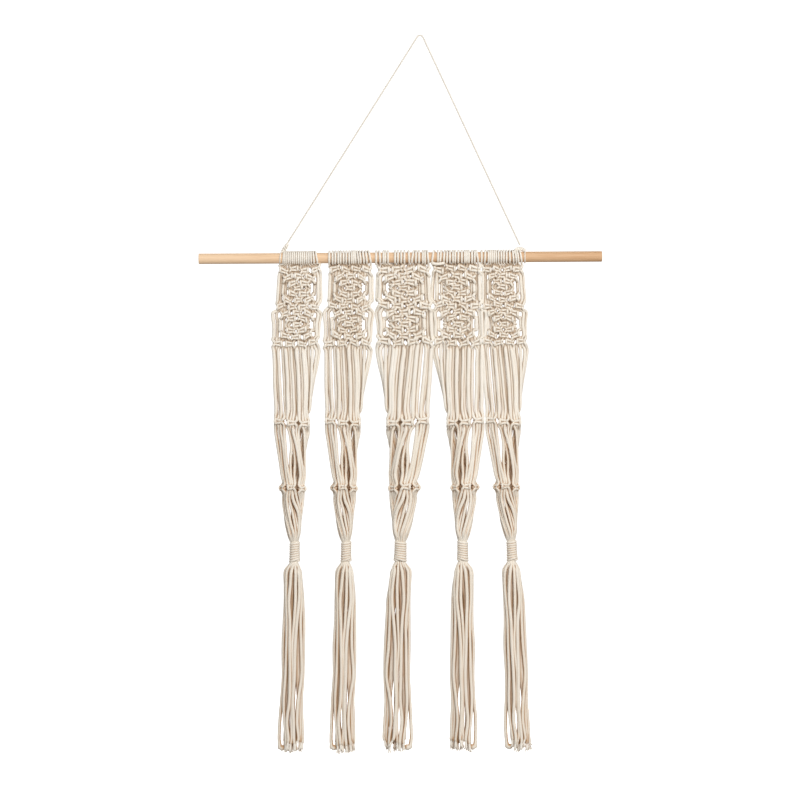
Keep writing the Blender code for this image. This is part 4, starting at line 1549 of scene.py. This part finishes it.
PANELS = (
    Panel(
        "1", Pattern.AS_DRAWN, (1.00, 1.00, 1.00), 1.0,
        (-0.1512, -0.1525, -0.1584, -0.1636, -0.1620, -0.1608, -0.1623, -0.1673),
        (-175.6, -172.5, -169.4, -166.3, -163.2, -160.1, -157.0, -153.9, -150.8, -147.7, -144.6,
         -141.5, -138.2, -134.6, -130.4, -125.4),
        {13: 0.0010, 14: 0.0024, 15: 0.0048}, wrap_radius=0.00158, slit=0.6,
    ),
    Panel(
        "2", Pattern.AS_DRAWN, (1.00, 1.02, 1.00), 1.0,
        (-0.0769, -0.0750, -0.0794, -0.0867, -0.0844, -0.0829, -0.0852, -0.0890),
        (-107.3, -102.3, -98.2, -93.7, -90.2, -85.7, -81.6, -77.2, -73.5, -70.6, -67.4, -63.2,
         -59.8, -54.9, -50.7, -44.8),
        {10: 0.0020, 11: 0.0034, 12: 0.0026, 13: 0.0036, 14: 0.0026, 15: 0.0050},
    ),
    Panel(
        "3", Pattern.MIRRORED, (1.23, 1.21, 1.21), 0.2,
        (0.0025, 0.0048, 0.0080, 0.0112, 0.0051, 0.0006, -0.0032, -0.0027),
        (-36.5, -30.2, -25.4, -22.7, -18.6, -7.9, -3.6, 1.3, 6.2, 13.5, 17.6, 23.3, 28.2, 34.0,
         37.2, 42.3),
        {1: 0.0024, 9: 0.0014, 10: -0.0040, 11: -0.0010, 15: 0.0026},
    ),
    Panel(
        "4", Pattern.MIRRORED, (1.12, 1.08, 1.06), 1.0,
        (0.0822, 0.0855, 0.0873, 0.0982, 0.0968, 0.0943, 0.0949, 0.0971),
        (48.2, 65.6, 57.0, 60.4, 70.2, 74.9, 79.4, 82.9, 87.4, 92.8, 97.3, 100.3, 103.5, 108.2,
         112.3, 117.4),
        {0: -0.0036, 1: -0.0020, 3: -0.0022, 4: -0.0014, 8: -0.0008, 15: 0.0042},
        front_bight=0, slit=-0.5,
        swing={0: (-3.0, -4.5, -4.2), 1: (2.2, -2.2, -2.2), 2: (0.0, -1.2, -1.0)},
    ),
    Panel(
        "5", Pattern.AS_DRAWN, (0.96, 0.98, 0.99), 0.3,
        (0.1519, 0.1542, 0.1568, 0.1556, 0.1611, 0.1669, 0.1728, 0.1766),
        (122.9, 127.7, 133.3, 136.2, 138.9, 141.8, 144.9, 148.3, 152.5, 156.3, 160.5, 165.7,
         171.0, 175.2, 178.5, 183.0),
        {1: -0.0016, 11: 0.0012, 12: 0.0022, 13: 0.0030, 14: 0.0034, 15: 0.0044},
        wrap_radius=0.0016, slit=0.3,
    ),
)


# ---- rod and studio


@dataclass(frozen=True)
class Rod:
    """The dowel, whose shape is the CAD model's own."""

    node: str = "rod"

    def build(self, nodes: dict[str, Object], finishes: Finishes) -> None:
        """Finishes the dowel in wood.

        Args:
            nodes: The CAD nodes by name.
            finishes: The shared materials.
        """
        rod = nodes[self.node]
        rod.data.materials.clear()
        rod.data.materials.append(finishes.wood)
        LOG.info("rod: finished")


@dataclass(frozen=True)
class Light:
    """One soft round light."""

    name: str
    place: Point
    size: float
    watts: float
    colour: Point


@dataclass(frozen=True)
class Studio:
    """A round white sweep, soft lights before and behind, and a camera square to the hanging."""

    middle: Point = (-0.0303, 0.0, -0.5507)
    frame_width: float = 1.2104
    distance: float = 4.2
    sensor: float = 36.0
    floor_drop: float = -1.35
    sweep_radius: float = 6.0
    sweep_bend: float = 0.9
    sweep_top: float = 3.0
    lights: tuple[Light, ...] = (
        Light("key_light", (0.45, -3.1, 0.7), 0.9, 74, (1.0, 0.99, 0.975)),
        Light("back_light", (-0.8, 3.6, 0.5), 2.0, 60, (1.0, 0.97, 0.93)),
        Light("fill_light", (2.2, -2.2, -0.3), 1.6, 14, (1.0, 0.88, 0.76)),
    )
    air: Point = (1.0, 0.93, 0.86)
    air_strength: float = 0.38

    def camera(self) -> None:
        """Sets up the camera."""
        data = bpy.data.cameras.new("front_camera")
        data.sensor_width = self.sensor
        data.lens = self.sensor * self.distance / self.frame_width
        obj = add_object("front_camera", data)
        x, y, z = self.middle
        obj.location = (x, y - self.distance, z)
        obj.rotation_euler = (math.radians(90), 0, 0)
        bpy.context.scene.camera = obj

    def sweep(self, sides: int = 48, bends: int = 8) -> None:
        """Makes the floor, which curves up into a wall all round.

        Args:
            sides: How many sides its circle has.
            bends: How many steps its curve has.
        """
        profile = [(0.0, self.floor_drop)]
        for i in range(bends + 1):
            angle = math.radians(90 * i / bends)
            out, up = 1 - math.sin(angle), 1 - math.cos(angle)
            profile.append(
                (self.sweep_radius - self.sweep_bend * out, self.floor_drop + self.sweep_bend * up)
            )
        profile.append((self.sweep_radius, self.sweep_top))
        turns = [FULL_TURN * i / sides for i in range(sides)]
        places = [(r * math.sin(a), r * math.cos(a), z) for r, z in profile for a in turns]
        faces = []
        for low in range(0, (len(profile) - 1) * sides, sides):
            for j in range(sides):
                k = (j + 1) % sides
                faces.append((low + j, low + k, low + sides + k, low + sides + j))
        mesh = bpy.data.meshes.new("studio_sweep")
        mesh.from_pydata(places, [], faces)
        mesh.shade_smooth()
        graph = Graph.start("studio_white")
        mesh.materials.append(graph.dress(
            Base_Color=rgba((0.8, 0.8, 0.8)), Roughness=0.95,
            Emission_Color=rgba((1.0, 1.0, 1.0)), Emission_Strength=0.85,
        ))
        obj = add_object("studio_sweep", mesh)
        obj.visible_diffuse = obj.visible_glossy = obj.visible_shadow = False

    def light_up(self) -> None:
        """Adds the lights, each pointed at the hanging, and the air's own light."""
        for light in self.lights:
            data = bpy.data.lights.new(light.name, "AREA")
            data.shape, data.size = "DISK", light.size
            data.energy, data.color = light.watts, light.colour
            obj = add_object(light.name, data)
            obj.location = light.place
            way = Vector(self.middle) - Vector(light.place)
            obj.rotation_euler = way.to_track_quat("-Z", "Y").to_euler()
        world = bpy.data.worlds.new("studio_air")
        world.use_nodes = True
        air = world.node_tree.nodes["Background"].inputs
        air["Color"].default_value = rgba(self.air)
        air["Strength"].default_value = self.air_strength
        bpy.context.scene.world = world

    def build(self) -> None:
        """Makes the sweep and lights the scene."""
        bpy.context.scene.view_settings.view_transform = "Standard"
        self.sweep()
        self.light_up()


def main() -> None:
    """Builds the looks of the hanging around its CAD frame."""
    logging.basicConfig(level=logging.INFO, format="%(name)s: %(message)s")
    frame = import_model()
    studio = Studio()
    studio.camera()
    finishes = Finishes.make()
    HangingCord().build(finishes)
    Rod().build(frame["nodes"], finishes)
    for panel in PANELS:
        panel.build(finishes)
    studio.build()


if __name__ == "__main__":
    main()
